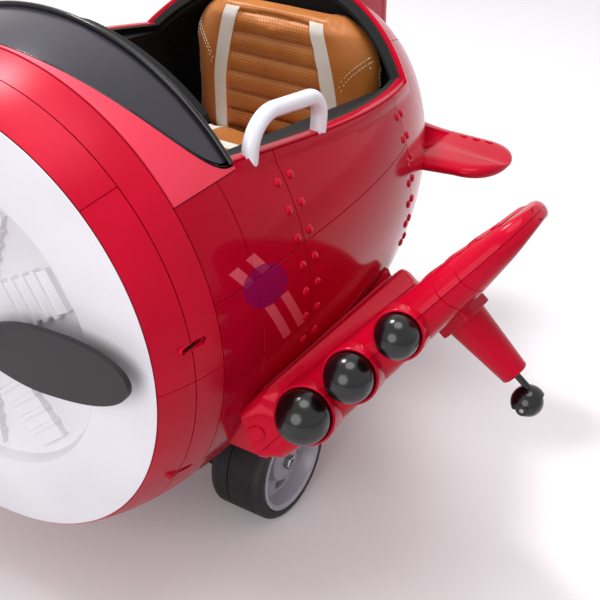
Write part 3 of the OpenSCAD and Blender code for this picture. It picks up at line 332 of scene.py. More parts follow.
class NodeSheet:
    """A material's node tree, with short calls to add and link its nodes."""

    def __init__(self, name: str) -> None:
        """Starts a material of a name with a Principled shader."""
        self.result = bpy.data.materials.new(name)
        self.result.use_nodes = True
        self.tree = self.result.node_tree
        self.shader = self.tree.nodes["Principled BSDF"]
        self.coordinates = self.add("ShaderNodeTexCoord").outputs["Object"]

    def add(self, kind: str, values: dict[str | int, object] | None = None,
            **settings: object) -> bpy.types.Node:
        """Adds a node.

        Args:
            kind: The node's type.
            values: Values or links for its inputs, by name or number.
            settings: Its own attributes.

        Returns:
            The node.
        """
        node = self.tree.nodes.new(kind)
        for key, value in settings.items():
            setattr(node, key, value)
        for key, value in (values or {}).items():
            self.feed(node.inputs[key], value)
        return node

    def feed(self, socket: NodeSocket, value: object) -> None:
        """Sets a socket to a value, or links it to an output."""
        if isinstance(value, NodeSocket):
            self.tree.links.new(value, socket)
        else:
            socket.default_value = value

    def maths(self, operation: str, *values: object) -> NodeSocket:
        """Adds a Math node and gives its output."""
        return self.add("ShaderNodeMath", dict(enumerate(values)), operation=operation).outputs[0]

    def times(self, *values: object) -> NodeSocket:
        """Multiplies two values."""
        return self.maths("MULTIPLY", *values)

    def plus(self, *values: object) -> NodeSocket:
        """Adds two values."""
        return self.maths("ADD", *values)

    def minus(self, *values: object) -> NodeSocket:
        """Takes the second value from the first."""
        return self.maths("SUBTRACT", *values)

    def size(self, value: object) -> NodeSocket:
        """Drops a value's sign."""
        return self.maths("ABSOLUTE", value)

    def noise(self, scale: float, detail: float = 3.0, stretch: Sequence[float] = (1, 1, 1)) -> NodeSocket:
        """Adds a noise on object coordinates, stretched along the axes, and gives its value."""
        mapping = self.add("ShaderNodeMapping", {"Vector": self.coordinates, "Scale": tuple(stretch)})
        values = {"Vector": mapping.outputs[0], "Scale": scale, "Detail": detail}
        return self.add("ShaderNodeTexNoise", values).outputs["Fac"]

    def ramp(self, value: object, stops: Sequence[tuple[float, Sequence[float]]]) -> NodeSocket:
        """Adds a colour ramp over a value and gives its colour."""
        node = self.add("ShaderNodeValToRGB", {"Fac": value})
        elements = node.color_ramp.elements
        while len(elements) < len(stops):
            elements.new(1.0)
        for element, (position, colour) in zip(elements, stops):
            element.position = position
            element.color = (*colour, 1.0)
        return node.outputs["Color"]

    def scaled(self, value: object, low: float, high: float) -> NodeSocket:
        """Maps a value from 0 to 1 onto a range."""
        values = {"Value": value, "To Min": low, "To Max": high}
        return self.add("ShaderNodeMapRange", values).outputs["Result"]

    def mixed(self, share: object, first: object, second: object) -> NodeSocket:
        """Mixes two colours by a share."""
        node = self.add("ShaderNodeMix", data_type="RGBA")
        for socket, value in ((node.inputs[0], share), (node.inputs[6], first), (node.inputs[7], second)):
            self.feed(socket, (*value, 1.0) if isinstance(value, tuple) and len(value) == 3 else value)
        return node.outputs[2]

    def bump(self, height: object, strength: float, distance: float, after: object = None) -> NodeSocket:
        """Adds a bump from a height, on top of an earlier normal."""
        values = {"Height": height, "Strength": strength, "Distance": distance}
        if after is not None:
            values["Normal"] = after
        return self.add("ShaderNodeBump", values).outputs["Normal"]

    def set(self, **values: object) -> None:
        """Feeds the shader's inputs, named with underscores for spaces."""
        for key, value in values.items():
            self.feed(self.shader.inputs[key.replace("_", " ")], value)


def linear(code: str) -> tuple[float, float, float]:
    """Turns a written colour such as #C4002B into the linear values that the shaders take."""
    parts = [int(code[i:i + 2], 16) / 255 for i in (1, 3, 5)]
    return tuple(part / 12.92 if part <= 0.04045 else ((part + 0.055) / 1.055) ** 2.4 for part in parts)


MADE: dict[str, bpy.types.Material] = {}


@dataclass(frozen=True)
class Finish:
    """A finish that turns into one material, made on first use."""

    name: str
    colour: str

    def material(self) -> bpy.types.Material:
        """The material of this finish."""
        if self.name not in MADE:
            sheet = NodeSheet(self.name)
            self.build(sheet)
            MADE[self.name] = sheet.result
        return MADE[self.name]

    def build(self, sheet: NodeSheet) -> None:
        """Fills the node tree."""
        raise NotImplementedError


@dataclass(frozen=True)
class Plastic(Finish):
    """Moulded plastic, plain or painted, with flow marks and a moulding grain."""

    shade: str = ""
    roughness: float = 0.3
    coat: float = 0.0
    grain: float = 300.0
    grain_depth: float = 0.00004
    grain_strength: float = 0.1
    specular: float = 0.5
    tint: str = "#FFFFFF"

    def build(self, sheet: NodeSheet) -> None:
        """Mixes the two shades by slow flow marks, which change the gloss a little too."""
        flow = sheet.noise(5.0, 4.0, (1, 0.6, 1.4))
        colour = sheet.ramp(flow, [(0.32, linear(self.shade or self.colour)), (0.62, linear(self.colour))])
        colour = self.decorate(sheet, colour)
        gloss = sheet.scaled(flow, self.roughness * 0.85, self.roughness * 1.2)
        normal = sheet.bump(sheet.noise(self.grain, 2.0), self.grain_strength, self.grain_depth)
        sheet.set(Base_Color=colour, Roughness=gloss, Normal=normal)
        sheet.set(Specular_IOR_Level=self.specular, Specular_Tint=(*linear(self.tint), 1.0))
        sheet.set(Coat_Weight=self.coat, Coat_Roughness=0.06)

    def decorate(self, sheet: NodeSheet, colour: NodeSocket) -> NodeSocket:
        """Paints over the colour where a finish has more than one."""
        return colour


@dataclass(frozen=True)
class RoundelPlastic(Plastic):
    """The flank's plastic with a plain disc and two pairs of bars printed on it."""

    disc: str = "#7C0C50"
    bar: str = "#D25A68"
    centre_y: float = 171.0
    centre_rise: float = 61.0
    disc_long: float = 41.0
    disc_high: float = 25.0
    disc_slant: float = -17.0
    upper_slant: float = -54.0
    lower_slant: float = -60.0
    skew: float = 0.6
    bar_near: float = 6.5
    bar_far: float = 20.0
    body_radius: float = 313.0

    def decorate(self, sheet: NodeSheet, colour: NodeSocket) -> NodeSocket:
        """Lays the print out along the body's length and girth."""
        x, y, z = sheet.add("ShaderNodeSeparateXYZ", {0: sheet.coordinates}).outputs
        up = sheet.minus(z, AXIS_Z / 1000)
        girth = sheet.times(sheet.maths("ARCTAN2", up, sheet.size(x)), self.body_radius / 1000)
        rise = sheet.minus(girth, self.centre_rise / 1000)
        along = sheet.minus(y, (self.centre_y - AXIS_Y) / 1000)
        across, over = self.turned(sheet, along, rise, self.disc_slant)
        across = sheet.maths("DIVIDE", across, self.disc_long / 1000)
        over = sheet.maths("DIVIDE", over, self.disc_high / 1000)
        reach = sheet.plus(sheet.times(across, across), sheet.times(over, over))
        disc = sheet.maths("LESS_THAN", reach, 1.0)
        bars = 0.0
        for slant, near, end in ((self.upper_slant, -50, -18), (self.lower_slant, 28, 98)):
            far, off = self.turned(sheet, along, rise, slant)
            far = sheet.minus(far, sheet.times(off, self.skew))
            beside = self.within(sheet, sheet.size(off), self.bar_near, self.bar_far)
            bars = sheet.maths("MAXIMUM", bars, sheet.times(self.within(sheet, far, near, end), beside))
        worn = sheet.scaled(sheet.noise(160.0, 5.0), 0.6, 0.95)
        colour = sheet.mixed(sheet.times(bars, worn), colour, linear(self.bar))
        return sheet.mixed(sheet.times(disc, worn), colour, linear(self.disc))

    def turned(self, sheet: NodeSheet, along: object, rise: object, slant: float) -> tuple[object, object]:
        """The place on the flank in a frame turned by an angle."""
        c, q = cos(radians(slant)), sin(radians(slant))
        far = sheet.plus(sheet.times(along, c), sheet.times(rise, q))
        return far, sheet.minus(sheet.times(rise, c), sheet.times(along, q))

    def within(self, sheet: NodeSheet, value: object, low: float, high: float) -> object:
        """A mask that is 1 between two distances in millimetres."""
        over = sheet.maths("GREATER_THAN", value, low / 1000)
        return sheet.times(over, sheet.maths("LESS_THAN", value, high / 1000))


@dataclass(frozen=True)
class Leather(Finish):
    """Stitched imitation leather with a pebble grain, and holes pricked through the channelled middle."""

    shade: str = ""
    pricked: bool = False
    upright: bool = False
    roughness: float = 0.42
    half_panel: float = 82.0
    pitch: float = 5.0

    def build(self, sheet: NodeSheet) -> None:
        """Combines grain, creases, colour variation and the pricked holes."""
        values = {"Vector": sheet.coordinates, "Scale": 520.0}
        pebbles = sheet.add("ShaderNodeTexVoronoi", values, feature="F1").outputs["Distance"]
        clouds = sheet.noise(14.0, 4.0)
        colour = sheet.ramp(clouds, [(0.3, linear(self.shade or self.colour)), (0.7, linear(self.colour))])
        colour = sheet.mixed(sheet.scaled(pebbles, 0.0, 0.16), colour, linear(self.shade or self.colour))
        height = sheet.scaled(pebbles, 1.0, 0.0)
        normal = sheet.bump(height, 0.35, 0.0003)
        normal = sheet.bump(sheet.noise(60.0, 3.0), 0.12, 0.0008, normal)
        if self.pricked:
            hole = self.holes(sheet)
            colour = sheet.mixed(sheet.times(hole, 0.85), colour, linear("#4A2A12"))
            normal = sheet.bump(sheet.minus(1.0, hole), 0.6, 0.0006, normal)
        gloss = sheet.scaled(clouds, self.roughness - 0.06, self.roughness + 0.08)
        sheet.set(Base_Color=colour, Normal=normal, Roughness=gloss)
        sheet.set(Sheen_Weight=0.12, Sheen_Roughness=0.4, Specular_IOR_Level=0.4)

    def holes(self, sheet: NodeSheet) -> NodeSocket:
        """A mask of small round holes in staggered rows over the middle panel."""
        x, y, z = sheet.add("ShaderNodeSeparateXYZ", {0: sheet.coordinates}).outputs
        pitch = self.pitch / 1000
        across = sheet.maths("DIVIDE", x, pitch)
        along = sheet.maths("DIVIDE", z if self.upright else y, pitch * 0.866)
        row = sheet.maths("FLOOR", along)
        shift = sheet.times(sheet.maths("MODULO", sheet.size(row), 2.0), 0.5)
        dx = sheet.minus(sheet.maths("FRACT", sheet.plus(across, shift)), 0.5)
        dy = sheet.times(sheet.minus(sheet.maths("FRACT", along), 0.5), 0.866)
        reach = sheet.maths("SQRT", sheet.plus(sheet.times(dx, dx), sheet.times(dy, dy)))
        dot = sheet.minus(1.0, sheet.times(reach, 3.0))
        inside = sheet.maths("LESS_THAN", sheet.size(x), self.half_panel / 1000)
        return sheet.times(sheet.maths("MAXIMUM", dot, 0.0), inside)


@dataclass(frozen=True)
class Rubber(Finish):
    """Matt tyre rubber with dust in its grain."""

    dust: str = "#4A4748"
    roughness: float = 0.62

    def build(self, sheet: NodeSheet) -> None:
        """Adds fine grain and a thin, cloudy dust."""
        clouds = sheet.noise(24.0, 6.0)
        colour = sheet.ramp(clouds, [(0.4, linear(self.colour)), (0.85, linear(self.dust))])
        normal = sheet.bump(sheet.noise(900.0, 2.0), 0.25, 0.0002)
        gloss = sheet.scaled(clouds, self.roughness - 0.1, self.roughness + 0.1)
        sheet.set(Base_Color=colour, Normal=normal, Roughness=gloss)
        sheet.set(Specular_IOR_Level=0.4)


@dataclass(frozen=True)
class Metal(Finish):
    """Plated or painted steel with fine brushing and a little tarnish."""

    shade: str = "#6C6E72"
    roughness: float = 0.3
    metallic: float = 1.0

    def build(self, sheet: NodeSheet) -> None:
        """Brushes the surface along X and clouds its colour."""
        brushing = sheet.noise(60.0, 4.0, (1, 18, 18))
        clouds = sheet.noise(30.0, 4.0)
        colour = sheet.ramp(clouds, [(0.35, linear(self.shade)), (0.6, linear(self.colour))])
        normal = sheet.bump(brushing, 0.12, 0.0001)
        gloss = sheet.scaled(brushing, self.roughness - 0.08, self.roughness + 0.12)
        sheet.set(Base_Color=colour, Normal=normal, Roughness=gloss)
        sheet.set(Metallic=self.metallic)


BODY = Plastic("body_plastic", "#C2082A", shade="#B20524", roughness=0.17, coat=0.05, grain=40.0,
               grain_depth=0.0004, grain_strength=0.03, specular=0.3, tint="#FF7080")
COWL = Plastic("cowl_plastic", "#C2082A", shade="#AE0524", roughness=0.33, grain=40.0, grain_depth=0.0004,
               grain_strength=0.05, specular=0.4, tint="#FF8090")
# The flank's red is a darker copy of the body's red: painted shade for the sides, which the lights leave
# darker. The coaming ledge shares it.
SHADED_FLANK = RoundelPlastic("flank_plastic_shaded", "#B20426", shade="#A00320", roughness=0.13, coat=0.04, grain=30.0,
                       grain_depth=0.0004, grain_strength=0.03, specular=0.22, tint="#FF6070")
DECK = Plastic("deck_plastic", "#DC2A48", shade="#D2213F", roughness=0.42, grain=420.0, grain_strength=0.15)
NOSE = Plastic("nose_plastic", "#E8E4EA", shade="#DFDBE2", roughness=0.36, grain=260.0)
GLOSS_BLACK = Plastic("gloss_black_plastic", "#0A090B", shade="#070608", roughness=0.2, coat=0.12, grain=30.0,
                      grain_strength=0.02, specular=0.4)
# Near pure black: the parts' own black, darkened further so that the tub's band beside the seat reads as shade.
# Partly painted shade.
MATT_BLACK = Plastic("grained_black_plastic", "#0C0B0C", shade="#090809", roughness=0.55, grain=520.0,
                     grain_depth=0.0003, grain_strength=0.35, specular=0.18)
SMOKE = Plastic("smoked_screen", "#2C2834", shade="#221F28", roughness=0.26, coat=0.15, grain=120.0,
                grain_strength=0.04, specular=0.4)
BLADE = Plastic("blade_plastic", "#262023", shade="#1F1B1D", roughness=0.45, grain=380.0, grain_strength=0.25,
                specular=0.3)
# Near pure black: the rubber's own black, darkened further so that the trim's band inside the coaming reads as
# shade. Partly painted shade.
TRIM = Plastic("trim_rubber", "#0F0E0E", shade="#0B0A0A", roughness=0.6, grain=480.0, grain_depth=0.0003,
               grain_strength=0.3, specular=0.25)
HANDLE = Plastic("handle_lacquer", "#E8EAF0", shade="#DEE0E8", roughness=0.3, coat=0.2, grain=200.0)
RIM = Plastic("rim_plastic", "#A8A2AE", shade="#9A94A2", roughness=0.3, grain=260.0)
SIGNAL = Plastic("button_plastic", "#B0101E", shade="#980C18", roughness=0.25, coat=0.3)
TAN = Leather("tan_leather", "#C67A3A", shade="#B06628", pricked=True, upright=True)
TAN_FLAT = Leather("tan_leather_level", "#C67A3A", shade="#B06628", pricked=True)
BAND = Leather("pale_leather", "#ECE6DE", shade="#DED7CD", roughness=0.5)
THREAD = Leather("thread", "#E4D9C4", shade="#C9B898", roughness=0.7)
TYRE = Rubber("tyre_rubber", "#131214", dust="#343133")
STEEL = Metal("plated_steel", "#B4B6BA")
FRAME_PAINT = Metal("frame_lacquer", "#3A3B3E", shade="#2C2D30", roughness=0.45, metallic=0.4)


# The fuselage


@dataclass
class Hull:
    """The fuselage's outline, which every body panel follows."""

    nose_r: float = 284.0
    body_r: float = 316.0
    peak_y: float = 256.0
    nose_power: float = 3.7
    end_y: float = 1000.0
    tail_power: float = 2.7
    coaming_z: float = 189.0
    coaming_y: float = 184.0
    coaming_fall: float = 0.136
    arch_y: float = 640.0
    arch_z: float = 127.0
    arch_slope: float = 0.6387
    lip_y: float = 191.0

    def radius(self, y: float) -> float:
        """The radius at a station."""
        if y < self.peak_y:
            return between(self.body_r, self.nose_r, ((self.peak_y - y) / self.peak_y) ** self.nose_power)
        return self.body_r * (1 - ((y - self.peak_y) / (self.end_y - self.peak_y)) ** self.tail_power)

    def lean(self, y: float) -> float:
        """The outline's slope at a station, in radians."""
        return atan2(self.radius(y + 3) - self.radius(y - 3), 6)

    def point(self, y: float, angle: float, out: float = 0.0) -> Vector:
        """A point on the surface at a station and an angle above level, or off it."""
        return radial(angle) * (self.radius(y) + out) + AFT * y

    def coaming(self, y: float) -> float:
        """The coaming's height at a station."""
        return self.coaming_z - self.coaming_fall * (y - self.coaming_y)

    def over_coaming(self, point: Vector) -> float:
        """How far a point lies above the coaming's line."""
        return point.z - self.coaming(point.y)

    def before_arch(self, point: Vector) -> float:
        """How far a point lies in front of the rear arch's line."""
        return self.arch_y + (point.z - self.arch_z) * self.arch_slope - point.y

    def opening(self, point: Vector) -> float:
        """How far a point lies inside the cockpit's outline."""
        return min(self.over_coaming(point), self.before_arch(point))

    def surface(self, rows: Sequence[tuple[float, float]], a0: float, a1: float, step: float = 2.25) -> BMesh:
        """Makes a sheet that follows stations and radii between two angles.

        Args:
            rows: Stations with their radii, from front to rear.
            a0: The first angle above level, in degrees.
            a1: The last angle.
            step: The width of a column, in degrees.

        Returns:
            The sheet, facing out.
        """
        columns = max(2, round((a1 - a0) / step))

        def form(u: float, v: float) -> Vector:
            """One point of the sheet."""
            y, r = rows[round(v * (len(rows) - 1))]
            return radial(between(a0, a1, u)) * r + AFT * y

        bm = warped_sheet(columns, len(rows) - 1, form)
        self.face_out(bm)
        return bm

    def face_out(self, bm: BMesh) -> None:
        """Turns a sheet's faces away from the axis."""
        turned_in = 0.0
        for face in bm.faces:
            middle = face.calc_center_median()
            turned_in += face.normal.dot(Vector((middle.x, 0, middle.z)))
        if turned_in < 0:
            bmesh.ops.reverse_faces(bm, faces=bm.faces)

    def stations(self, y0: float, y1: float, step: float = 9.0) -> list[tuple[float, float]]:
        """Stations with their radii between two ends."""
        count = max(2, round((y1 - y0) / step))
        return [(y, self.radius(y)) for y in (y0 + (y1 - y0) * i / count for i in range(count + 1))]

    def shift(self, bm: BMesh, amount: Callable[[Vector], float]) -> None:
        """Moves points along the radius by an amount that depends on their place."""
        for vert in bm.verts:
            away = Vector((vert.co.x, 0, vert.co.z))
            if away.length > 1:
                vert.co += away.normalized() * amount(vert.co)

    def score(self, bm: BMesh, point: Vector, normal: Vector, near: Region | None = None,
              half_width: float = 1.0, depth: float = 2.0) -> None:
        """Draws a fine groove where a plane meets a sheet.

        Args:
            bm: The sheet.
            point: A point of the plane.
            normal: The plane's normal.
            near: Where the groove is wanted.
            half_width: Half the groove's width.
            depth: Its depth.
        """
        normal = normal.normalized()
        for offset in (-half_width - 1.4, -half_width, 0.0, half_width, half_width + 1.4):
            bisect(bm, point + normal * offset, normal, near)

        def sink(co: Vector) -> float:
            """The depth on the plane, and nothing beside it."""
            on_line = abs((co - point).dot(normal)) < 0.05
            return -depth if on_line and (near is None or near(co)) else 0.0

        self.shift(bm, sink)

    def cut_cockpit(self, bm: BMesh, lip: float = 12.0, proud: float = 3.0) -> None:
        """Cuts the cockpit out of a sheet and raises the lip along the cut.

        Args:
            bm: The sheet.
            lip: The lip's height.
            proud: How far it stands out.
        """
        along = Vector((0, self.coaming_fall, 1))
        back = Vector((0, 1, -self.arch_slope))
        for drop in (0.0, -lip / 4, -lip / 2, -lip * 0.75, -lip):
            bisect(bm, Vector((0, self.coaming_y, self.coaming_z + drop)), along)
            bisect(bm, Vector((0, self.arch_y - drop, self.arch_z)), back)
        drop_faces(bm, lambda point: self.opening(point) > 0)

        def rise(co: Vector) -> float:
            """The height of the moulded edge at a point."""
            return proud * (1 - clamp(-self.opening(co) / lip) ** 1.5) if co.y > self.lip_y else 0.0

        self.shift(bm, rise)


@dataclass
class Fuselage:
    """The body panels, the nose plate, the windscreen and the rivets."""

    hull: Hull = field(default_factory=Hull)
    skin: float = 4.0
    seam: float = 1.3
    cowl_seam_y: float = 47.0
    deck_seam_y: float = 87.0
    tail_seam_y: float = 560.0
    tail_tip_y: float = 970.0
    belly_angle: float = 28.0
    deck_angle: float = 35.4
    deck_half: float = 48.0
    deck_rear_y: float = 815.0
    slot_y: float = 49.0
    slot_angles: tuple[float, float] = (8.7, -27.6)
    screen_x: float = 254.7
    screen_y: float = 94.0
    flank_z: float = 75.0
    tail_line_y: float = 700.0
    caster_y: float = 690.0
    corner_y: float = 190.8
    deck_end_y: float = 190.0
    ledge_wide: float = 14.5
    ledge_half: float = 2.9
    groove_stations: tuple[float, float] = (157.0, 256.0)

    def build(self) -> None:
        """Makes every piece of the fuselage."""
        self.cowl()
        self.deck()
        self.screen()
        self.ledge()
        for side in Side:
            self.side_panel(side)
        self.tail()
        self.turtledeck()
        self.nose_plate()
        self.rivets()

    def cowl(self) -> None:
        """Makes the two cowl rings with their slots and their joint lines."""
        half = self.seam / 2
        rings = (("cowl_ring_front", 1.8, self.cowl_seam_y - half, (44.5, 135.5, 0.4, 179.6)),
                 ("cowl_ring_rear", self.cowl_seam_y + half, self.deck_seam_y - half, (0.4, 179.6)))
        for name, y0, y1, joints in rings:
            bm = self.hull.surface(self.hull.stations(y0, y1, 5.0), 0, 360)
            for angle in joints:
                self.hull.score(bm, ORIGIN, radial(angle + 90),
                                lambda point, side=radial(angle): point.dot(side) > 200, 0.7, 1.6)
            for angle in self.slot_angles:
                for turn in (angle, 180 - angle):
                    punch(bm, self.slot_place(turn), 37.0, 9.0, 16.0)
            Piece(name, COWL, wall=self.skin, bevel=0.6).make(bm)
        self.slot_collars()

    def slot_place(self, angle: float) -> Matrix:
        """The frame of a cowl slot at an angle, with X along the body and Z out."""
        out = radial(angle)
        turn = Matrix((AFT, out.cross(AFT), out)).transposed().to_4x4()
        return Matrix.Translation(self.hull.point(self.slot_y, angle)) @ turn

    def deck(self) -> None:
        """Makes the matt deck that runs round the windscreen."""
        y0 = self.deck_seam_y + self.seam / 2

        def form(u: float, v: float) -> Vector:
            """A point of the deck: across by angle, aft to the windscreen's outline."""
            lean = 90 - self.deck_angle
            angle = 90 + lean * sin(radians(-90 + 180 * u))
            y1 = self.deck_end_y
            for _ in range(6):
                x = self.hull.radius(y1) * cos(radians(angle))
                share = abs(x) / self.screen_x
                line = self.hull.coaming_y - self.screen_y * safe_sqrt(1 - share * share)
                y1 = self.deck_end_y if share >= 1 else min(self.deck_end_y, line)
            return self.hull.point(y0 + (y1 - y0) * v, angle, 1.6)

        bm = warped_sheet(120, 14, form)
        self.hull.face_out(bm)
        Piece("deck_panel", DECK, slot="deck_red", wall=self.skin, bevel=0.6).make(bm)

    def screen_line(self, share: float, inset: float) -> tuple[float, float]:
        """X and station on the windscreen's outline, from 0 on the starboard side to 1 on the port side."""
        angle = pi * (1 - share)
        ahead = (self.screen_y - inset) * sin(angle)
        return (self.screen_x - inset) * cos(angle), self.hull.coaming_y - ahead

    def on_hull(self, x: float, y: float, out: float) -> Vector:
        """The point of the upper surface above an X and a station."""
        r = self.hull.radius(y) + out
        return Vector((x, y, sqrt(max(1.0, r * r - x * x))))

    def screen(self) -> None:
        """Makes the smoked windscreen, the bead along its rear edge and the thin bead round its base."""

        def glass(u: float, v: float) -> Vector:
            """A point of the windscreen."""
            x, y0 = self.screen_line(0.018 + 0.964 * u, 3.5)
            y0 = min(y0, 180.5)
            return self.on_hull(x, y0 + (182.4 - y0) * v, 1.0)

        low = degrees(asin(self.hull.coaming_z / self.hull.radius(self.hull.coaming_y)))
        bm = warped_sheet(96, 16, glass)
        self.hull.face_out(bm)
        Piece("windscreen", SMOKE, slot="smoke", wall=3.0, bevel=0.5).make(bm)

        def rear(u: float, v: float) -> Vector:
            """A point of the rear bead: a rounded section that runs over the cockpit's front edge."""
            turn = 2 * pi * u
            return self.hull.point(185.2 + 3.2 * squared(cos(turn), 0.6), between(low, 180 - low, v),
                                   1.2 + 5.6 * squared(sin(turn), 0.6))

        def base(u: float, v: float) -> Vector:
            """A point of the base bead, which lies in the joint between the windscreen and the deck."""
            x, y = self.screen_line(0.012 + 0.976 * v, 1.8)
            middle = self.on_hull(x, y, 0.2)
            rise = (y - self.hull.coaming_y) / self.screen_y ** 2
            ahead = Vector((x / self.screen_x ** 2, rise, 0)).normalized()
            out = Vector((middle.x, 0, middle.z)).normalized()
            return middle + ahead * 1.7 * cos(2 * pi * u) + out * 1.9 * sin(2 * pi * u)

        bm = joined([warped_sheet(28, 90, rear, closed=True), warped_sheet(10, 110, base, closed=True)])
        Piece("windscreen_frame", GLOSS_BLACK, slot="gloss_black", crease=50).make(bm)

    def slot_collars(self) -> None:
        """Makes the short walls behind the cowl's slots."""
        parts = []
        for angle in self.slot_angles:
            for turn in (angle, 180 - angle):
                def form(u: float, v: float) -> Vector:
                    """A point of the wall: round the slot, then inward."""
                    end, side = cos(2 * pi * u), sin(2 * pi * u)
                    straight = 14.0 * (1 if end > 0.001 else -1 if end < -0.001 else 0)
                    return Vector((straight + 4.6 * end, 4.6 * side, -0.6 - 11.0 * v))

                parts.append((warped_sheet(32, 4, form), self.slot_place(turn)))
        Piece("cowl_slot_walls", COWL, wall=1.2, crease=60).make(joined(parts))

    def ledge(self) -> None:
        """Makes the red ledge over the outer part of the trim, along the coaming and over the rear arch."""
        hull = self.hull
        wide, half = self.ledge_wide, self.ledge_half
        parts = []
        for turn in (-1, 1):
            def along(u: float, v: float, turn: int = turn) -> Vector:
                """A point of the ledge beside the cockpit."""
                y = 192 + (642 - 192) * v
                z = hull.coaming(y)
                outer = sqrt(hull.radius(y) ** 2 - z * z)
                a = 2 * pi * u
                x = outer - 1.0 - wide / 2 * (1 - squared(cos(a), 0.4))
                return Vector((turn * x, y, z + 0.6 + half * squared(sin(a), 0.5)))

            parts.append(warped_sheet(24, 60, along, closed=True))

        ahead = Vector((0, -1, hull.arch_slope)).normalized()

        def over(u: float, v: float) -> Vector:
            """A point of the ledge over the arch."""
            angle = radians(28.6 + (180 - 57.2) * v)
            y = hull.arch_y
            for _ in range(12):
                y = (y + hull.arch_y + (hull.radius(y) * sin(angle) - hull.arch_z) * hull.arch_slope) / 2
            out = Vector((cos(angle), 0, sin(angle)))
            a = 2 * pi * u
            depth = 1.0 + 3.2 - 3.2 * squared(cos(a), 0.4)
            return AFT * y + out * (hull.radius(y) - depth) + ahead * (0.6 + half * squared(sin(a), 0.5))

        parts.append(warped_sheet(24, 80, over, closed=True))
        Piece("coaming_ledge", SHADED_FLANK, crease=60).make(joined(parts))

    def side_panel(self, side: Side) -> None:
        """Makes one side panel, with the raised lip along the coaming, its grooves and its print."""
        half = self.seam / 2
        hull = self.hull
        rows = hull.stations(self.deck_seam_y + half, self.tail_seam_y - half)
        bm = hull.surface(rows, -self.belly_angle + 0.1, 42.0, 1.8)
        top = self.deck_angle - 0.15
        bisect(bm, ORIGIN, radial(top + 90))
        bisect(bm, AFT * self.corner_y, AFT)
        drop_faces(bm, lambda point: point.y < self.corner_y and atan2(point.z, point.x) > radians(top))
        hull.cut_cockpit(bm)
        for y in self.groove_stations:
            hull.score(bm, Vector((0, y, 0)), AFT)
        hull.score(bm, Vector((0, 0, self.flank_z)), UP, depth=1.5)
        name = f"side_panel_{side.value}"
        Piece(name, SHADED_FLANK, wall=self.skin, bevel=0.5).make(bm, side)

    def tail(self) -> None:
        """Makes the tail moulding, with a rounded tip, open at the cockpit and under the upper deck."""
        hull = self.hull
        start = self.tail_tip_y - 10
        rows = hull.stations(self.tail_seam_y + self.seam / 2, start, 8.0)
        r = hull.radius(start)
        rows += [(start + 10 * sin(radians(a)), r - 8 * (1 - cos(radians(a)))) for a in (22, 45, 68, 90)]
        rows += [(self.tail_tip_y, (r - 8) * share) for share in (0.66, 0.33, 0.0)]
        bm = hull.surface(rows, 0, 360)
        for angle in (90 - self.deck_half, 90 + self.deck_half):
            bisect(bm, ORIGIN, radial(angle + 90), lambda point: point.z > 20)
        bisect(bm, AFT * self.deck_rear_y, AFT, lambda point: point.z > 20)

        def under_deck(point: Vector) -> bool:
            """True where the upper deck covers the tail."""
            return point.y < self.deck_rear_y and abs(degrees(atan2(point.z, point.x)) - 90) < self.deck_half

        drop_faces(bm, under_deck)
        hull.cut_cockpit(bm)
        hull.score(bm, AFT * self.tail_line_y, AFT, lambda point: abs(point.x) > 100 and -60 < point.z < 114,
                   0.8, 1.4)
        down = move(0, self.caster_y, -hull.radius(self.caster_y)) @ rotate("X", 180)
        punch(bm, down, 60.8, 60.6, 60.0, 16)
        Piece("tail_shell", BODY, wall=self.skin, bevel=0.5).make(bm)

    def turtledeck(self) -> None:
        """Makes the deck behind the cockpit with its raised arch."""
        hull = self.hull
        rows, half = hull.stations(600, self.deck_rear_y - self.seam, 8.0), self.deck_half - 0.2
        bm = hull.surface(rows, 90 - half, 90 + half, 2.0)
        hull.cut_cockpit(bm)
        Piece("turtledeck", BODY, wall=self.skin, bevel=0.5).make(bm)

    def nose_plate(self) -> None:
        """Makes the pale nose plate with its recess for the dummy engine."""
        profile = [(8, 18), (8, 14), (188, 14), (189.5, 13.2), (194.4, 1.4), (195.6, 0.2), (197, 0), (281.8, 0),
                   (282.9, 0.3), (283.4, 0.9), (283.1, 1.5), (279.4, 1.7), (279.2, 8), (199, 8), (196, 18)]
        bm = turned(profile, 160)
        bm.transform(rotate("X", -90))
        Piece("nose_plate", NOSE, slot="nose_white", crease=30).make(bm)

    def rivets(self) -> None:
        """Sets the pairs of domed rivets beside two seams, on both sides."""
        dome = [(0, -1.0), (5.7, -1.0), (5.7, 0.3), (5.2, 1.4), (4.1, 2.3), (2.3, 2.9), (0, 3.1)]
        parts = []
        for y, offset, drop in ((256.0, 13.0, 0.0), (560.0, 9.0, 5.1)):
            for station in (y - offset, y + offset):
                for index in range(7):
                    angle = 28.4 - 6.3 * index - drop
                    for turn in (angle, 180 - angle):
                        lean = self.hull.lean(station)
                        normal = radial(turn) * cos(lean) - AFT * sin(lean)
                        place = Matrix.Translation(self.hull.point(station, turn, 0.1)) @ pointing(normal)
                        parts.append((turned(dome, 16), place))
        Piece("rivets", BODY, crease=60).make(joined(parts))


# Wings


@dataclass
class Station:
    """One section of the wing."""

    x: float
    lean: float
    middle: float
    front: float
    rear: float
    square: float
    squeeze: float
    take: float


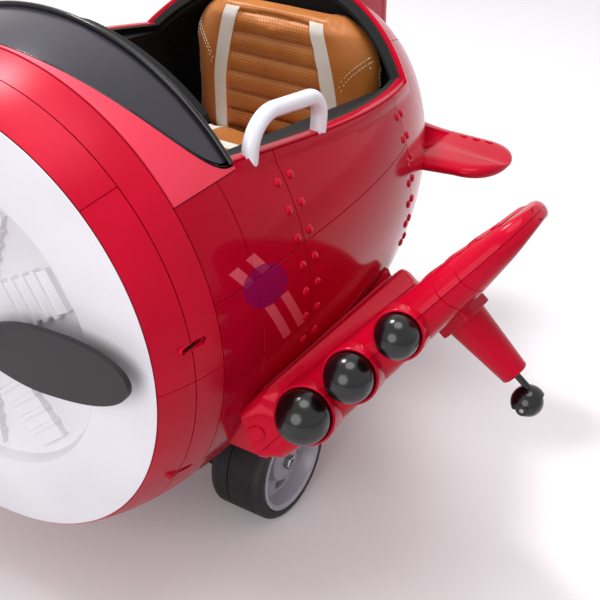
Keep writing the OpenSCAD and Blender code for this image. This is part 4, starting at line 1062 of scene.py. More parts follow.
@dataclass
class Wing:
    """One wing with its lamps, its root cap and the leg below it."""

    side: Side
    sweep: float = 20.0
    rise: float = 52.0
    span: float = 362.0
    root_chord: float = 372.0
    tip_chord: float = 90.0
    joint_x: float = 283.0
    tip_round: float = 38.0
    lamp_x: float = 61.0
    lamp_pitch: float = 71.0
    lamp_r: float = 33.0
    lamp_step: float = 3.7
    lamp_out: float = 15.0
    leg_x: float = 203.0
    leg_y: float = 167.0
    ball_r: float = 17.5
    root_lean: float = 26.0
    first_x: float = 46.0
    tail_facets: int = 20
    nose_facets: int = 28

    @property
    def frame(self) -> Matrix:
        """The wing's frame on the fuselage: X along the span, Y aft and Z square to the middle plane."""
        return ROW @ move(340, 133, -123) @ rotate("Y", -self.rise)

    def build(self) -> None:
        """Makes the wing's pieces."""
        self.shell(True)
        self.shell(False)
        self.lamps()
        self.root_cap()
        self.leg()

    def lead(self, x: float) -> float:
        """The leading edge's station at a distance along the span."""
        return x * tan(radians(self.sweep))

    def nose(self, x: float) -> float:
        """The leading edge's radius at a distance along the span."""
        if x < self.joint_x:
            return between(37, 25, x / self.joint_x)
        return between(25, 14, (x - self.joint_x) / (self.span - self.joint_x))

    def tail(self, x: float) -> float:
        """Half the trailing edge's thickness at a distance along the span."""
        if x < self.joint_x:
            return between(18, 11, (x - self.first_x) / (self.joint_x - self.first_x))
        return between(11, 13, (x - self.joint_x) / (self.span - self.joint_x))

    def edges(self, x: float) -> tuple[float, float]:
        """The stations of the leading and the trailing edge at a distance along the span."""
        lead = self.lead(x)
        return lead, lead + between(self.root_chord, self.tip_chord, x / self.span)

    def sections(self) -> list[Station]:
        """The wing's sections from the root block to the tip."""
        lean, first_x = self.root_lean, self.first_x
        stations = [Station(-28.0, lean, 23.5, 27.5, 25.5, 0.4, 0.96, 3),
                    Station(-26.5, lean, 22.8, 30.1, 28.1, 0.41, 1, 0),
                    Station(-3, lean, 13.5, 39.5, 36.5, 0.5, 1, 0)]
        block, first = astuple(stations[-1]), (first_x, 0, 0, self.nose(first_x), self.tail(first_x), 1, 1, 0)
        for share in (0.25, 0.5, 0.75):
            soft = share * share * (3 - 2 * share)
            values = [between(a, b, soft) for a, b in zip(block, first)]
            stations.append(Station(between(block[0], first_x, share), *values[1:]))
        for index in range(13):
            x = between(first_x, self.span - self.tip_round, index / 12)
            stations.append(Station(x, 0, 0, self.nose(x), self.tail(x), 1, 1, 0))
        for turn in map(radians, range(8, 89, 8)):
            x = self.span - self.tip_round * (1 - sin(turn))
            stations.append(Station(x, 0, 0, self.nose(x), self.tail(x), 1, 0.55 + 0.45 * cos(turn),
                                    self.tip_round * (1 - cos(turn))))
        return stations

    def loft(self) -> BMesh:
        """Makes the wing's outer surface, closed at both ends."""
        stations = self.sections()
        front, rear = self.nose_facets, self.tail_facets

        def form(u: float, v: float) -> Vector:
            """A point of the section: round the leading edge, then round the trailing edge."""
            st = stations[round(v * (len(stations) - 1))]
            index = round(u * (front + rear + 2)) % (front + rear + 2)
            y0, y1 = self.edges(st.x)
            if index <= front:
                a, r, edge = radians(90 + 180 * index / front), st.front, y0 + st.take + st.front
            else:
                a, r, edge = radians(270 + 180 * (index - front - 1) / rear), st.rear, y1 - st.take - st.rear
            z = st.middle + r * st.squeeze * squared(sin(a), st.square)
            return Vector((st.x + z * tan(radians(st.lean)), edge + r * squared(cos(a), st.square), z))

        return warped_sheet(front + rear + 2, len(stations) - 1, form, closed=True)

    def lamp_place(self, index: int) -> tuple[Matrix, float]:
        """A lamp's frame, with Z ahead, and its radius."""
        x = self.lamp_x + index * self.lamp_pitch
        turn = rotate("Z", self.sweep) @ rotate("X", 90)
        return move(x, self.lead(x) - self.lamp_out, 0) @ turn, self.lamp_r - index * self.lamp_step

    def shell(self, upper: bool) -> None:
        """Makes the upper or the lower half, with the barrels of the lamps and the ribs."""
        bm = self.loft()
        gap = 0.35
        for x in (255.0, self.joint_x):
            groove(bm, PORTWARD * x, PORTWARD, 0.8, 2.2)
        parts = [bm]
        for index in range(3):
            place, r = self.lamp_place(index)
            barrel = [(0, -46), (r + 4.5, -46), (r + 4.5, -4.5), (r + 4.1, -3.1), (r + 3.0, -2.2),
                      (r + 1.8, -2.3), (r + 0.9, -3.2), (r + 0.5, -5), (r + 0.4, -14), (0, -14)]
            parts.append((turned(barrel, 72), place))
        bm = joined(parts)
        cut = Vector((0, 0, gap if upper else -gap))
        bmesh.ops.bisect_plane(bm, geom=[*bm.verts, *bm.edges, *bm.faces], dist=0.001, plane_co=cut,
                               plane_no=(0, 0, 1), clear_inner=upper, clear_outer=not upper)
        bmesh.ops.holes_fill(bm, edges=[edge for edge in bm.edges if edge.is_boundary], sides=0)
        bmesh.ops.recalc_face_normals(bm, faces=bm.faces)
        if upper:
            bm = joined([bm, *(self.rib(i) for i in range(4))])
        name = f"wing_{'upper' if upper else 'lower'}_{self.side.value}"
        Piece(name, BODY, bevel=0.45, crease=35, place=self.frame).make(bm, self.side)

    def rib(self, index: int) -> BMesh:
        """Makes one raised rib on the upper side, between the leading and the trailing edge."""
        x = self.joint_x - 49 + index * 31
        y0, y1 = self.edges(x)
        y0, y1 = y0 + self.nose(x), y1 - self.tail(x)

        def form(u: float, v: float) -> Vector:
            """A point of the rib's rounded back, or of its foot."""
            side, end = 2 * u - 1, 2 * v - 1
            share = (8 + (y1 - y0 - 24) * v) / (y1 - y0)
            height = 3.6 * (1 - abs(side) ** 4) * (1 - abs(end) ** 14) - 0.8
            foot = between(self.nose(x), self.tail(x), share)
            return Vector((x + 11 * side, between(y0, y1, share), foot + height))

        return warped_sheet(14, 26, form, closed=True)

    def lamps(self) -> None:
        """Makes the three gloss domes."""
        parts = []
        for index in range(3):
            place, r = self.lamp_place(index)
            parts.append((turned([(0.0, -8.0), *around(r, -12, 90, 6), (0.0, r)], 72), place))
        Piece(f"lamp_domes_{self.side.value}", GLOSS_BLACK, slot="gloss_black", stands_for=("lamp_domes",),
              crease=50, place=self.frame).make(joined(parts), self.side)

    def root_cap(self) -> None:
        """Makes the round cap over the root's bolt."""
        x, z = -6.0, 19.5
        slope = tan(radians(self.root_lean))
        lean = rotate("Z", self.sweep) @ rotate("X", 90 + degrees(atan(slope * sin(radians(self.sweep)))))
        place = move(x, (x - z * slope) * tan(radians(self.sweep)), z) @ lean
        disc = [(0, 0.2), (10.2, 0.2), (11, 1.0), (11, 2.2), (10.2, 3.1), (8.6, 3.3), (7.8, 2.6), (0, 2.6)]
        bm = turned(disc, 48)
        bm.transform(place)
        bm = joined([bm, *(self.root_bead(x) for x in (-25.0, -15.5))])
        Piece(f"wing_cap_{self.side.value}", BODY, stands_for=("fasteners",), crease=40,
              place=self.frame).make(bm, self.side)

    def root_bead(self, x: float) -> BMesh:
        """Makes one raised bead along the top of the root block."""
        share = (x + 28) / 25
        y0, y1 = self.edges(x)
        y0, y1 = y0 + 29.5 + 10 * share, y1 - 27.5 - 9 * share

        def form(u: float, v: float) -> Vector:
            """A point of the bead's round section."""
            turn = 2 * pi * u
            z = 53 - (2 + share) * v
            end = safe_sqrt(1 - abs(2 * v - 1) ** 20)
            lean = tan(radians(self.root_lean))
            out = 3.0 * cos(turn) * end
            return Vector((x + z * lean + out, between(y0, y1, v), z + 3.2 * sin(turn) * end))

        return warped_sheet(16, 40, form, closed=True)

    def leg(self) -> None:
        """Makes the leg: a rounded pod under the wing and a tapered strut."""
        pod = bmesh.new()
        bmesh.ops.create_cube(pod, size=1.0, matrix=move(0, 0, -29) @ Matrix.Diagonal((54, 56, 26, 1)))
        upright = [edge for edge in pod.edges if abs(edge.verts[0].co.z - edge.verts[1].co.z) > 1]
        bmesh.ops.bevel(pod, geom=upright, offset=12, segments=8, profile=0.5, affect="EDGES", material=-1)
        outline = [(0, -126), (14.5, -126), (16.2, -125.2), (17, -123.4), (25, -42.5), (25, -30), (0, -30)]
        strut = turned(outline, 64)
        bm = joined([pod, strut])
        bm.transform(move(self.leg_x, self.leg_y, 0))
        name = f"wing_leg_{self.side.value}"
        Piece(name, BODY, bevel=1.6, crease=35, place=self.frame).make(bm, self.side)
        at_ball = move(self.leg_x - 13.5, self.leg_y, -160)
        r = self.ball_r
        ball = turned([(0.0, -r), *around(r, -84, 90, 6), (0.0, r)], 48)
        ball.transform(at_ball @ rotate("X", 90))
        Piece(f"caster_ball_{self.side.value}", GLOSS_BLACK, f"wing_ball_{self.side.value}", "gloss_black",
              place=self.frame).make(ball, self.side)
        head = [(0, -0.5), (2.9, -0.5), (2.9, 0.2), (2.3, 0.9), (0, 1.2)]
        pins = joined([(turned(head, 20), at_ball @ move(0, end * 20.4, 0) @ rotate("X", -90 * end))
                       for end in (-1, 1)])
        Piece(f"caster_pins_{self.side.value}", STEEL, f"wing_caster_{self.side.value}", "steel",
              place=self.frame).make(pins, self.side)


# Tail surfaces


def rounded_slab(front: float, rear: float, half: float, share: float) -> tuple[float, float]:
    """A point round a slab's section with half round edges.

    Args:
        front: Where the section starts.
        rear: Where it ends.
        half: Half its thickness.
        share: The place round the section, from 0 to 1.

    Returns:
        The place along the section and the height above its middle.
    """
    edge = min(half * 1.8, (rear - front) / 2)
    if share < 0.5:
        turn = radians(90 + 360 * share)
        return front + edge * (1 + cos(turn)), half * sin(turn)
    turn = radians(270 + 360 * (share - 0.5))
    return rear - edge * (1 - cos(turn)), half * sin(turn)


@dataclass
class TailSurfaces:
    """The stabilizers and the fin."""

    root_x: float = 150.0
    tub_side_x: float = 211.0
    tub_end_y: float = 708.0
    collar_x: float = 247.0
    round_x: float = 300.0
    span_x: float = 359.0
    middle_z: float = -6.0
    root_front: float = 643.0
    tip_front: float = 668.0
    rear: float = 789.0
    line_y: float = 777.0
    fin_foot_z: float = 36.0
    fin_round_z: float = 306.0
    fin_round_r: float = 33.0
    fin_front: float = 780.0
    fin_tip_front: float = 866.0
    fin_rear: float = 995.6

    def build(self) -> None:
        """Makes both stabilizers and the fin."""
        for side in Side:
            self.stabilizer(side)
        self.fin()

    def stabilizer(self, side: Side) -> None:
        """Makes one stabilizer: a slab with a round tip, flared where it meets the tail."""
        straight = self.round_x - self.root_x
        stations = [self.root_x + straight * i / 14 for i in range(14)]
        stations += [self.round_x + (self.span_x - self.round_x) * sin(radians(a)) for a in range(0, 91, 6)]
        middle_y = (self.tip_front + self.rear) / 2 + 6

        def slab(u: float, v: float) -> Vector:
            """A point of the slab."""
            x = stations[round(v * (len(stations) - 1))]
            share = min(1.0, (x - self.root_x) / straight)
            flare = (max(0.0, self.collar_x - x) / 60) ** 2
            front = self.root_front + (self.tip_front - self.root_front) * share - 7 * flare
            rear, half = self.rear + 5 * flare, 13.5 - 3 * share + 6 * flare
            if x > self.round_x:
                over = (x - self.round_x) / (self.span_x - self.round_x)
                reach = safe_sqrt(1 - over ** 2.3)
                front, rear = middle_y - (middle_y - front) * reach, middle_y + (rear - middle_y) * reach
                half = max(0.8, half * safe_sqrt(1 - over ** 5))
            y, z = rounded_slab(front, rear, half, u)
            return Vector((x, y, self.middle_z + z))

        bm = warped_sheet(56, len(stations) - 1, slab, closed=True)
        groove(bm, PORTWARD * self.collar_x, PORTWARD, 0.7, 2.0)
        groove(bm, AFT * self.line_y, AFT, 0.7, 2.0,
               lambda co: self.collar_x < co.x < self.round_x + 16 and co.z > self.middle_z)
        for i in range(6):
            bisect(bm, AFT * (self.tub_end_y - 8 + 7.6 * i), AFT)
        for vert in bm.verts:
            past = clamp((vert.co.y - self.tub_end_y) / 30)
            vert.co.x = max(vert.co.x, between(self.tub_side_x, self.root_x, past))
        bmesh.ops.remove_doubles(bm, verts=bm.verts, dist=0.01)
        bm = joined([bm, *(self.dash(268 + 21 * i) for i in range(3))])
        name = f"stabilizer_{side.value}"
        Piece(name, BODY, crease=40).make(bm, side)

    def dash(self, x: float) -> BMesh:
        """Makes one low raised dash beside the stabilizer's rear line."""

        def form(u: float, v: float) -> Vector:
            """A point of the dash, which curves a little."""
            turn, end = 2 * pi * u, 2 * v - 1
            thick = safe_sqrt(1 - end ** 6)
            y = self.line_y - 9 + 1.6 * end ** 2 + 1.2 * cos(turn) * thick
            return Vector((x + 6.5 * end, y, self.middle_z + 11.0 + 1.4 * sin(turn) * thick))

        return warped_sheet(10, 16, form, closed=True)

    def fin(self) -> None:
        """Makes the fin with its rounded top."""
        foot, top, r = self.fin_foot_z, self.fin_round_z, self.fin_round_r
        heights = [between(foot, top, i / 8) for i in range(8)]
        heights += [top + r * sin(radians(a)) for a in range(0, 90, 9)] + [top + r]

        def form(u: float, v: float) -> Vector:
            """A point of the fin."""
            z = heights[round(v * (len(heights) - 1))]
            front = between(self.fin_front, self.fin_tip_front, max(0.0, z - 60) / 250)
            rear, half = self.fin_rear, between(13.5, 8.5, min(1.0, (z - foot) / (top - foot)))
            if z > top:
                reach = safe_sqrt(r ** 2 - (z - top) ** 2)
                front, rear = self.fin_tip_front + r - reach, self.fin_rear - r + reach
                half = max(0.6, 8.5 * safe_sqrt(1 - ((z - top) / (r + 0.2)) ** 4))
            y, x = rounded_slab(front, rear, half, u)
            return Vector((x, y, z))

        Piece("tail_fin", BODY, crease=40).make(warped_sheet(48, len(heights) - 1, form, closed=True))


# Cockpit


@dataclass
class Seat:
    """The padded seat: a backrest with channels, a cushion, pale bands and stitching."""

    width: float = 352.0
    face_y: float = 650.0
    thick: float = 46.0
    tall: float = 232.0
    foot_z: float = -40.0
    band_x: float = 100.0
    band_half: float = 12.0
    channel_pitch: float = 31.9
    channel_seam_z: float = 13.0
    channel_depth: float = 10.5
    side_turn: float = 36.0
    cushion_rear: float = 652.0
    cushion_long: float = 214.0
    cushion_thick: float = 52.0
    cross_band_y: float = 560.0
    voxel: float = 4.5

    def build(self) -> None:
        """Makes the padded pieces, then what is sewn on them."""
        back = self.backrest()
        base = self.cushion()
        self.bands(back, base)

    def inflate(self, bm: BMesh, name: str, cap: float) -> BMesh:
        """Pads a form out by a short cloth simulation.

        Args:
            bm: The closed form in fuselage millimetres, which is used up.
            name: A name for the working object.
            cap: The furthest that a point may move, in millimetres.

        Returns:
            The padded form in metres.
        """
        bm.transform(ROW)
        mesh = bpy.data.meshes.new(name)
        bm.to_mesh(mesh)
        bm.free()
        thing = bpy.data.objects.new(name, mesh)
        bpy.context.scene.collection.objects.link(thing)
        remesh = thing.modifiers.new("remesh", "REMESH")
        remesh.mode = "VOXEL"
        remesh.voxel_size = self.voxel / 1000
        mesh = self.applied(thing)
        start = [vert.co.copy() for vert in mesh.vertices]
        cloth = thing.modifiers.new("cloth", "CLOTH")
        settings = cloth.settings
        settings.use_pressure = True
        settings.uniform_pressure_force = 4.0
        settings.effector_weights.gravity = 0.0
        settings.quality = 6
        settings.mass = 0.3
        cloth.collision_settings.use_collision = False
        for number in range(1, 21):
            bpy.context.scene.frame_set(number)
        mesh = self.applied(thing)
        for vert, before in zip(mesh.vertices, start):
            moved = vert.co - before
            if moved.length > cap / 1000:
                vert.co = before + moved.normalized() * cap / 1000
        bpy.context.scene.frame_set(1)
        padded = bmesh.new()
        padded.from_mesh(mesh)
        bpy.data.objects.remove(thing)
        bmesh.ops.smooth_vert(padded, verts=padded.verts, factor=0.5, use_axis_x=True, use_axis_y=True,
                              use_axis_z=True)
        bmesh.ops.subdivide_edges(padded, edges=padded.edges, cuts=1, use_grid_fill=True, smooth=0.6)
        return padded

    def applied(self, thing: bpy.types.Object) -> bpy.types.Mesh:
        """Makes an object's modifiers part of its mesh."""
        graph = bpy.context.evaluated_depsgraph_get()
        graph.update()
        mesh = bpy.data.meshes.new_from_object(thing.evaluated_get(graph))
        thing.modifiers.clear()
        thing.data = mesh
        return mesh

    def backrest_half(self, share: float) -> float:
        """Half the backrest's width at a share of its height."""
        start = 0.64
        corner = 1.0 if share < start else sqrt(max(0.0001, 1 - ((share - start) / (1 - start + 0.012)) ** 2))
        return self.width / 2 * (0.42 + 0.58 * corner)

    def bow(self, z: float) -> float:
        """How far the upright bands have drawn in towards the middle at a height above the axis."""
        return 30 * (max(0.0, z - 60) / 132) ** 1.3

    def channel_sink(self, z: float) -> float:
        """The depth of the channels at a height above the axis: full pads with sharp seams between them."""
        turn = (z - self.channel_seam_z) / self.channel_pitch
        near_seam = 1 - 2 * abs(turn - round(turn))
        return self.channel_depth * (1 - sqrt(1 - (0.985 * near_seam) ** 2))

    def backrest(self) -> bpy.types.Object:
        """Makes the backrest, padded and sewn into channels between its bands."""

        def form(u: float, v: float) -> Vector:
            """A point of the unpadded form: its face, then its back."""
            u %= 1.0
            share = 0.015 + 0.97 * v
            half = self.backrest_half(share) - 4
            z = self.foot_z + self.tall * share
            end = 1 - min(1.0, 8 * min(share + 0.04, 1.02 - share))
            if u <= 0.6:
                across = -1 + 2 * u / 0.6
                beside = max(0.0, abs(across) * half - 88) / max(1.0, half - 88)
                return Vector((across * half, self.face_y + 5 + self.side_turn * beside ** 2 + 9 * end, z))
            across = max(-1.0, 1 - 2 * (u - 0.6) / 0.36)
            return Vector((across * half * 0.98, self.face_y + self.thick - 1 + 6 * across ** 4, z))

        bm = self.inflate(warped_sheet(80, 40, form, closed=True), "backrest_form", 6.0)
        low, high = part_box("seat_backrest")
        for vert in bm.verts:
            co = vert.co
            x, z = abs(co.x) * 1000, co.z * 1000 - AXIS_Z
            face = self.face_y + self.side_turn * (max(0.0, x - 88) / 81) ** 2
            ahead = clamp((face + 18 - (co.y * 1000 + AXIS_Y)) / 10)
            middle = clamp((self.band_x - self.band_half + 1 - self.bow(z) - x) / 5)
            seam = peak(x - 166, 3)
            co.y += (middle * self.channel_sink(z) + 1.6 * seam) / 1000 * ahead
            self.keep_in(co, low, high, 0.014)
        piece = Piece("seat_backrest", TAN, slot="tan_leather", crease=80, place=Matrix.Identity(4))
        thing = piece.make(bm)
        return thing

    def cushion_under(self, y: float) -> float:
        """The height of the cushion's underside at a station."""
        return -22 - self.cushion_thick + 26 * (638 - y) / 200

    def cushion(self) -> bpy.types.Object:
        """Makes the seat cushion, padded out between its bands."""

        def form(u: float, v: float) -> Vector:
            """A point of the unpadded form: its top, then its underside."""
            u %= 1.0
            share = 0.01 + 0.97 * v
            half = self.width / 2 * (1 - 0.05 * share ** 6) - 7
            y = self.cushion_rear - self.cushion_long * share
            low = self.cushion_under(y)
            if u <= 0.62:
                across = -1 + 2 * u / 0.62
                crown = 11 * (1 - across ** 4) * sin(radians(96 + 74 * (share - 0.5)))
                return Vector((across * half, y, low + self.cushion_thick - 7 + crown))
            across = max(-1.0, 1 - 2 * (u - 0.62) / 0.34)
            return Vector((across * half * 0.98, y, low + 3))

        bm = self.inflate(warped_sheet(70, 36, form, closed=True), "cushion_form", 6.0)
        low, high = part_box("seat_cushion")
        for vert in bm.verts:
            co = vert.co
            x, y, z = abs(co.x) * 1000, co.y * 1000 + AXIS_Y, co.z * 1000 - AXIS_Z
            up = clamp((z - self.cushion_under(y) - self.cushion_thick + 24) / 10)
            seam = peak(x - self.band_x, 14) + peak(y - self.cross_band_y, 14) + 1.4 * peak(x - 152, 3)
            co.z -= min(1.4, seam) * 1.5 / 1000 * up
            self.keep_in(co, low, high, 0.008)
            co.z = max(co.z, (self.cushion_under(y) + AXIS_Z + 0.2) / 1000)
        piece = Piece("seat_cushion", TAN_FLAT, slot="tan_leather", crease=80, place=Matrix.Identity(4))
        thing = piece.make(bm)
        return thing

    def keep_in(self, co: Vector, low: Vector, high: Vector, rise: float) -> None:
        """Holds a padded point near its solid's box, as far as leather may stand proud."""
        for axis, spare in enumerate((0.013, 0.014, rise)):
            co[axis] = min(high[axis] + spare, max(low[axis] - spare, co[axis]))

    def bands(self, back: bpy.types.Object, base: bpy.types.Object) -> None:
        """Sews the pale bands and the seams on the two padded pieces."""
        trees = []
        for thing in (back, base):
            points = [vert.co for vert in thing.data.vertices]
            trees.append(BVHTree.FromPolygons(points, [tuple(face.vertices) for face in thing.data.polygons]))

        def on_back(x: float, z: float, out: float) -> Vector:
            """The backrest's face at an X and a height above its foot."""
            start = Vector((x, face_y - 80, self.foot_z + z))
            hit = trees[0].ray_cast(ROW @ start, AFT)[0]
            spot = ROW.inverted() @ hit if hit else Vector((x, face_y + 12, self.foot_z + z))
            return spot - Vector((0, out, 0))

        def on_base(x: float, y: float, out: float) -> Vector:
            """The cushion's top at an X and a station."""
            hit = trees[1].ray_cast(ROW @ Vector((x, y, 120)), Vector((0, 0, -1)))[0]
            top = self.cushion_under(y) + self.cushion_thick - 8
            spot = ROW.inverted() @ hit if hit else Vector((x, y, top))
            return spot + Vector((0, 0, out))

        face_y = self.face_y
        strips = []
        for turn in (-1, 1):
            def upright(u: float, v: float, turn: int = turn) -> Vector:
                """A point of an upright band, which bows in towards the top."""
                z = self.foot_z + 6 + (self.tall - 18) * v
                x = self.band_x + self.band_half * (1 - 2 * u) - self.bow(z)
                return on_back(turn * x, z - self.foot_z, 1.1)

            def lengthways(u: float, v: float, turn: int = turn) -> Vector:
                """A point of a band along the cushion."""
                x = self.band_x + self.band_half * (1 - 2 * u)
                return on_base(turn * x, self.cushion_rear - 4 - 84 * v, 1.1)

            strips += [warped_sheet(8, 80, upright), warped_sheet(8, 30, lengthways)]
        reach = self.band_x + self.band_half

        def crossways(u: float, v: float) -> Vector:
            """A point of the band across the cushion."""
            return on_base(reach * (2 * u - 1), self.cross_band_y + self.band_half * (1 - 2 * v), 1.5)

        strips.append(warped_sheet(60, 8, crossways))
        for strip in strips:
            strip.normal_update()
            facing = sum((face.normal for face in strip.faces), Vector())
            if (facing.y if abs(facing.y) > abs(facing.z) else -facing.z) > 0:
                bmesh.ops.reverse_faces(strip, faces=strip.faces)
        Piece("seat_bands", BAND, slot="handle_white", wall=1.6, bevel=0.5).make(joined(strips))
        stitches = []
        for turn in (-1, 1):
            rows = [[on_back(turn * 162, z, 0.4) for z in range(20, 172, 6)]]
            for drop in (0, 6):
                shares = [i / 14 for i in range(15)]
                rows.append([on_back(turn * (114 + drop / 2 + 47 * share), 126 - drop + 56 * share ** 0.62, 0.4)
                             for share in shares])
            rows.append([on_base(turn * 148, y, 0.4) for y in range(642, 450, -6)])
            for row in rows:
                stitches += list(zip(row, row[1:]))
        parts = []
        for start, end in stitches:
            if (end - start).length < 16:
                thread = bmesh.new()
                bmesh.ops.create_uvsphere(thread, u_segments=6, v_segments=4, radius=1.0)
                place = Matrix.Translation(start.lerp(end, 0.36)) @ pointing(end - start)
                parts.append((thread, place @ Matrix.Diagonal((0.75, 0.75, 2.3, 1))))
        Piece("seat_stitching", THREAD, slot="handle_white", crease=80).make(joined(parts))


@dataclass
class GrabHandles:
    """The two bent tubes on the coaming."""

    front_y: float = 224.0
    rear_y: float = 359.0
    height: float = 45.0
    front_bend: float = 40.0
    rear_bend: float = 28.0
    tube_r: float = 10.0
    sunk: float = 12.0
    front_inset: float = 3.0
    rear_inset: float = 7.0
    proud: float = 2.3

    def build(self) -> None:
        """Makes both handles."""
        hull = Hull()
        front = self.foot_x(hull, self.front_y, self.front_inset)
        rear = self.foot_x(hull, self.rear_y, self.rear_inset)
        toe = Matrix.Rotation(-atan2(rear - front, self.rear_y - self.front_y), 4, "Z")
        fall = Matrix.Rotation(-atan2(hull.coaming_fall, 1), 4, "X")
        place = ROW @ move(front, self.front_y, hull.coaming(self.front_y) + self.proud) @ toe @ fall
        for side in Side:
            name = f"grab_handle_{side.value}"
            Piece(name, HANDLE, slot="handle_white", crease=40, place=place).make(self.tube(), side)

    def foot_x(self, hull: Hull, y: float, inset: float) -> float:
        """A foot's distance from the centre plane, on the ledge beside the coaming."""
        return sqrt(hull.radius(y) ** 2 - hull.coaming(y) ** 2) - inset

    def tube(self) -> BMesh:
        """Makes the tube: up from its front foot, over two bends and down to its rear foot."""
        bm = bmesh.new()
        long = self.rear_y - self.front_y
        start = move(0, 0, -self.sunk)
        ring = bmesh.ops.create_circle(bm, cap_ends=False, segments=32, radius=self.tube_r, matrix=start)
        edges = list({edge for vert in ring["verts"] for edge in vert.link_edges})
        edges = self.run(bm, edges, Vector((0, 0, self.height + self.sunk - self.front_bend)))
        edges = self.elbow(bm, edges, Vector((0, self.front_bend, self.height - self.front_bend)))
        edges = self.run(bm, edges, Vector((0, long - self.front_bend - self.rear_bend, 0)))
        edges = self.elbow(bm, edges, Vector((0, long - self.rear_bend, self.height - self.rear_bend)))
        self.run(bm, edges, Vector((0, 0, self.rear_bend - self.height - self.sunk)))
        bmesh.ops.holes_fill(bm, edges=[edge for edge in bm.edges if edge.is_boundary], sides=0)
        bmesh.ops.recalc_face_normals(bm, faces=bm.faces)
        return bm

    def run(self, bm: BMesh, edges: list[BMEdge], way: Vector) -> list[BMEdge]:
        """Draws the open ring straight on and gives the new ring."""
        grown = bmesh.ops.extrude_edge_only(bm, edges=edges)["geom"]
        bmesh.ops.translate(bm, vec=way, verts=[item for item in grown if isinstance(item, BMVert)])
        new = {item for item in grown if isinstance(item, BMVert)}
        return [item for item in grown if isinstance(item, BMEdge) and set(item.verts) <= new]

    def elbow(self, bm: BMesh, edges: list[BMEdge], centre: Vector) -> list[BMEdge]:
        """Turns the open ring a quarter round a bend and gives the new ring."""
        verts = list({vert for edge in edges for vert in edge.verts})
        grown = bmesh.ops.spin(bm, geom=verts + edges, cent=centre, axis=-PORTWARD, angle=pi / 2, steps=12)
        return [item for item in grown["geom_last"] if isinstance(item, BMEdge)]


# Wheels and propeller


@dataclass
class Wheels:
    """The tyres with their grooves, and the nuts that hold the wheels."""

    middle_x: float = 209.0
    axle_y: float = 315.0
    axle_z: float = -325.0
    tyre_r: float = 85.0
    rim_r: float = 70.1
    half: float = 42.0

    def build(self) -> None:
        """Makes both tyres and the nuts."""
        for side in Side:
            place = ROW @ move(self.middle_x, self.axle_y, self.axle_z) @ rotate("Y", 90)
            Piece(f"tyre_{side.value}", TYRE, f"wheel_{side.value}", "tyre_rubber", crease=28,
                  place=place).make(turned(self.tread(), 144), side)
        parts = []
        for turn in (-1, 1):
            nut = bmesh.new()
            bmesh.ops.create_cone(nut, cap_ends=True, segments=6, radius1=11, radius2=11, depth=8)
            bmesh.ops.bevel(nut, geom=nut.edges[:], offset=0.9, segments=2, profile=0.5, affect="EDGES",
                            material=-1)
            parts.append((nut, move(turn * 245.5, self.axle_y, self.axle_z) @ rotate("Y", 90)))
        Piece("wheel_nuts", STEEL, slot="steel", stands_for=("fasteners",), crease=40).make(joined(parts))

    def tread(self) -> list[tuple[float, float]]:
        """The tyre's outline: side walls, round shoulders and a tread with one deep and many fine grooves."""
        w, r = self.half, self.tyre_r
        points = [(self.rim_r, -w + 3), (self.rim_r + 3, -w), (r - 11, -w)]
        points += [(r - 9 + 9 * sin(radians(a)), -w + 9 - 9 * cos(radians(a))) for a in range(10, 91, 16)]
        z = -w + 11.0
        while z < w - 12:
            deep = abs(z + 14) < 1.6
            depth, wide = (2.6, 2.6) if deep else (0.7, 1.1)
            points += [(r, z), (r - depth, z + wide * 0.3), (r - depth, z + wide * 0.7), (r, z + wide)]
            z += wide + (1.9 if not deep else 1.6)
        points += [(r - 9 + 9 * sin(radians(a)), w - 9 + 9 * cos(radians(a))) for a in range(90, 9, -16)]
        return points + [(r - 11, w), (self.rim_r + 3, w), (self.rim_r, w - 3)]


@dataclass
class Propeller:
    """The three flat blades on their hub."""

    blade_y: float = -30.0
    thick: float = 7.0
    inner_r: float = 30.0
    root_r: float = 44.0
    tip_r: float = 274.0
    width: float = 84.0
    root_width: float = 30.0
    swell: float = 0.45
    droop: float = -6.0
    shank_share: float = 0.075

    def half_width(self, share: float) -> float:
        """Half a blade's width at a share of its length beyond the spinner."""
        grown = between(self.root_width, self.width, sin(pi / 2 * min(1.0, share / self.swell))) / 2
        return grown * safe_sqrt(1 - (max(0.0, share - self.swell) / (1 - self.swell)) ** 2.6)

    def build(self) -> None:
        """Makes the blades with their hub as one moulding."""

        def form(u: float, v: float) -> Vector:
            """A point of a blade's flat face."""
            start = self.shank_share
            share = sin(pi / 2 * max(0.0, v * 1.08 - 0.08)) if v > start else 0.0
            reach = between(self.root_r, self.tip_r, share)
            if v <= start:
                reach = between(self.inner_r, self.root_r, v / start)
            half = max(0.4, self.half_width(share))
            return Vector((reach, 0, (2 * u - 1) * half))

        parts = []
        for index in range(3):
            blade = warped_sheet(16, 54, form)
            blade.normal_update()
            if sum(face.normal.y for face in blade.faces) > 0:
                bmesh.ops.reverse_faces(blade, faces=blade.faces)
            whole = bmesh.ops.extrude_face_region(blade, geom=blade.faces[:])["geom"]
            verts = [item for item in whole if isinstance(item, BMVert)]
            bmesh.ops.translate(blade, vec=(0, self.thick, 0), verts=verts)
            bmesh.ops.recalc_face_normals(blade, faces=blade.faces)
            turn = rotate("Y", self.droop + index * 120)
            parts.append((blade, move(0, self.blade_y, 0) @ turn))
        hub = turned([(6.1, -1), (35, -1), (36, 0), (36, 7), (35, 8), (6.1, 8)], 64)
        parts.append((hub, move(0, self.blade_y, 0) @ rotate("X", -90)))
        Piece("propeller_blades", BLADE, "propeller", "matte_black", bevel=1.3, crease=40).make(joined(parts))


# What stays from the frame


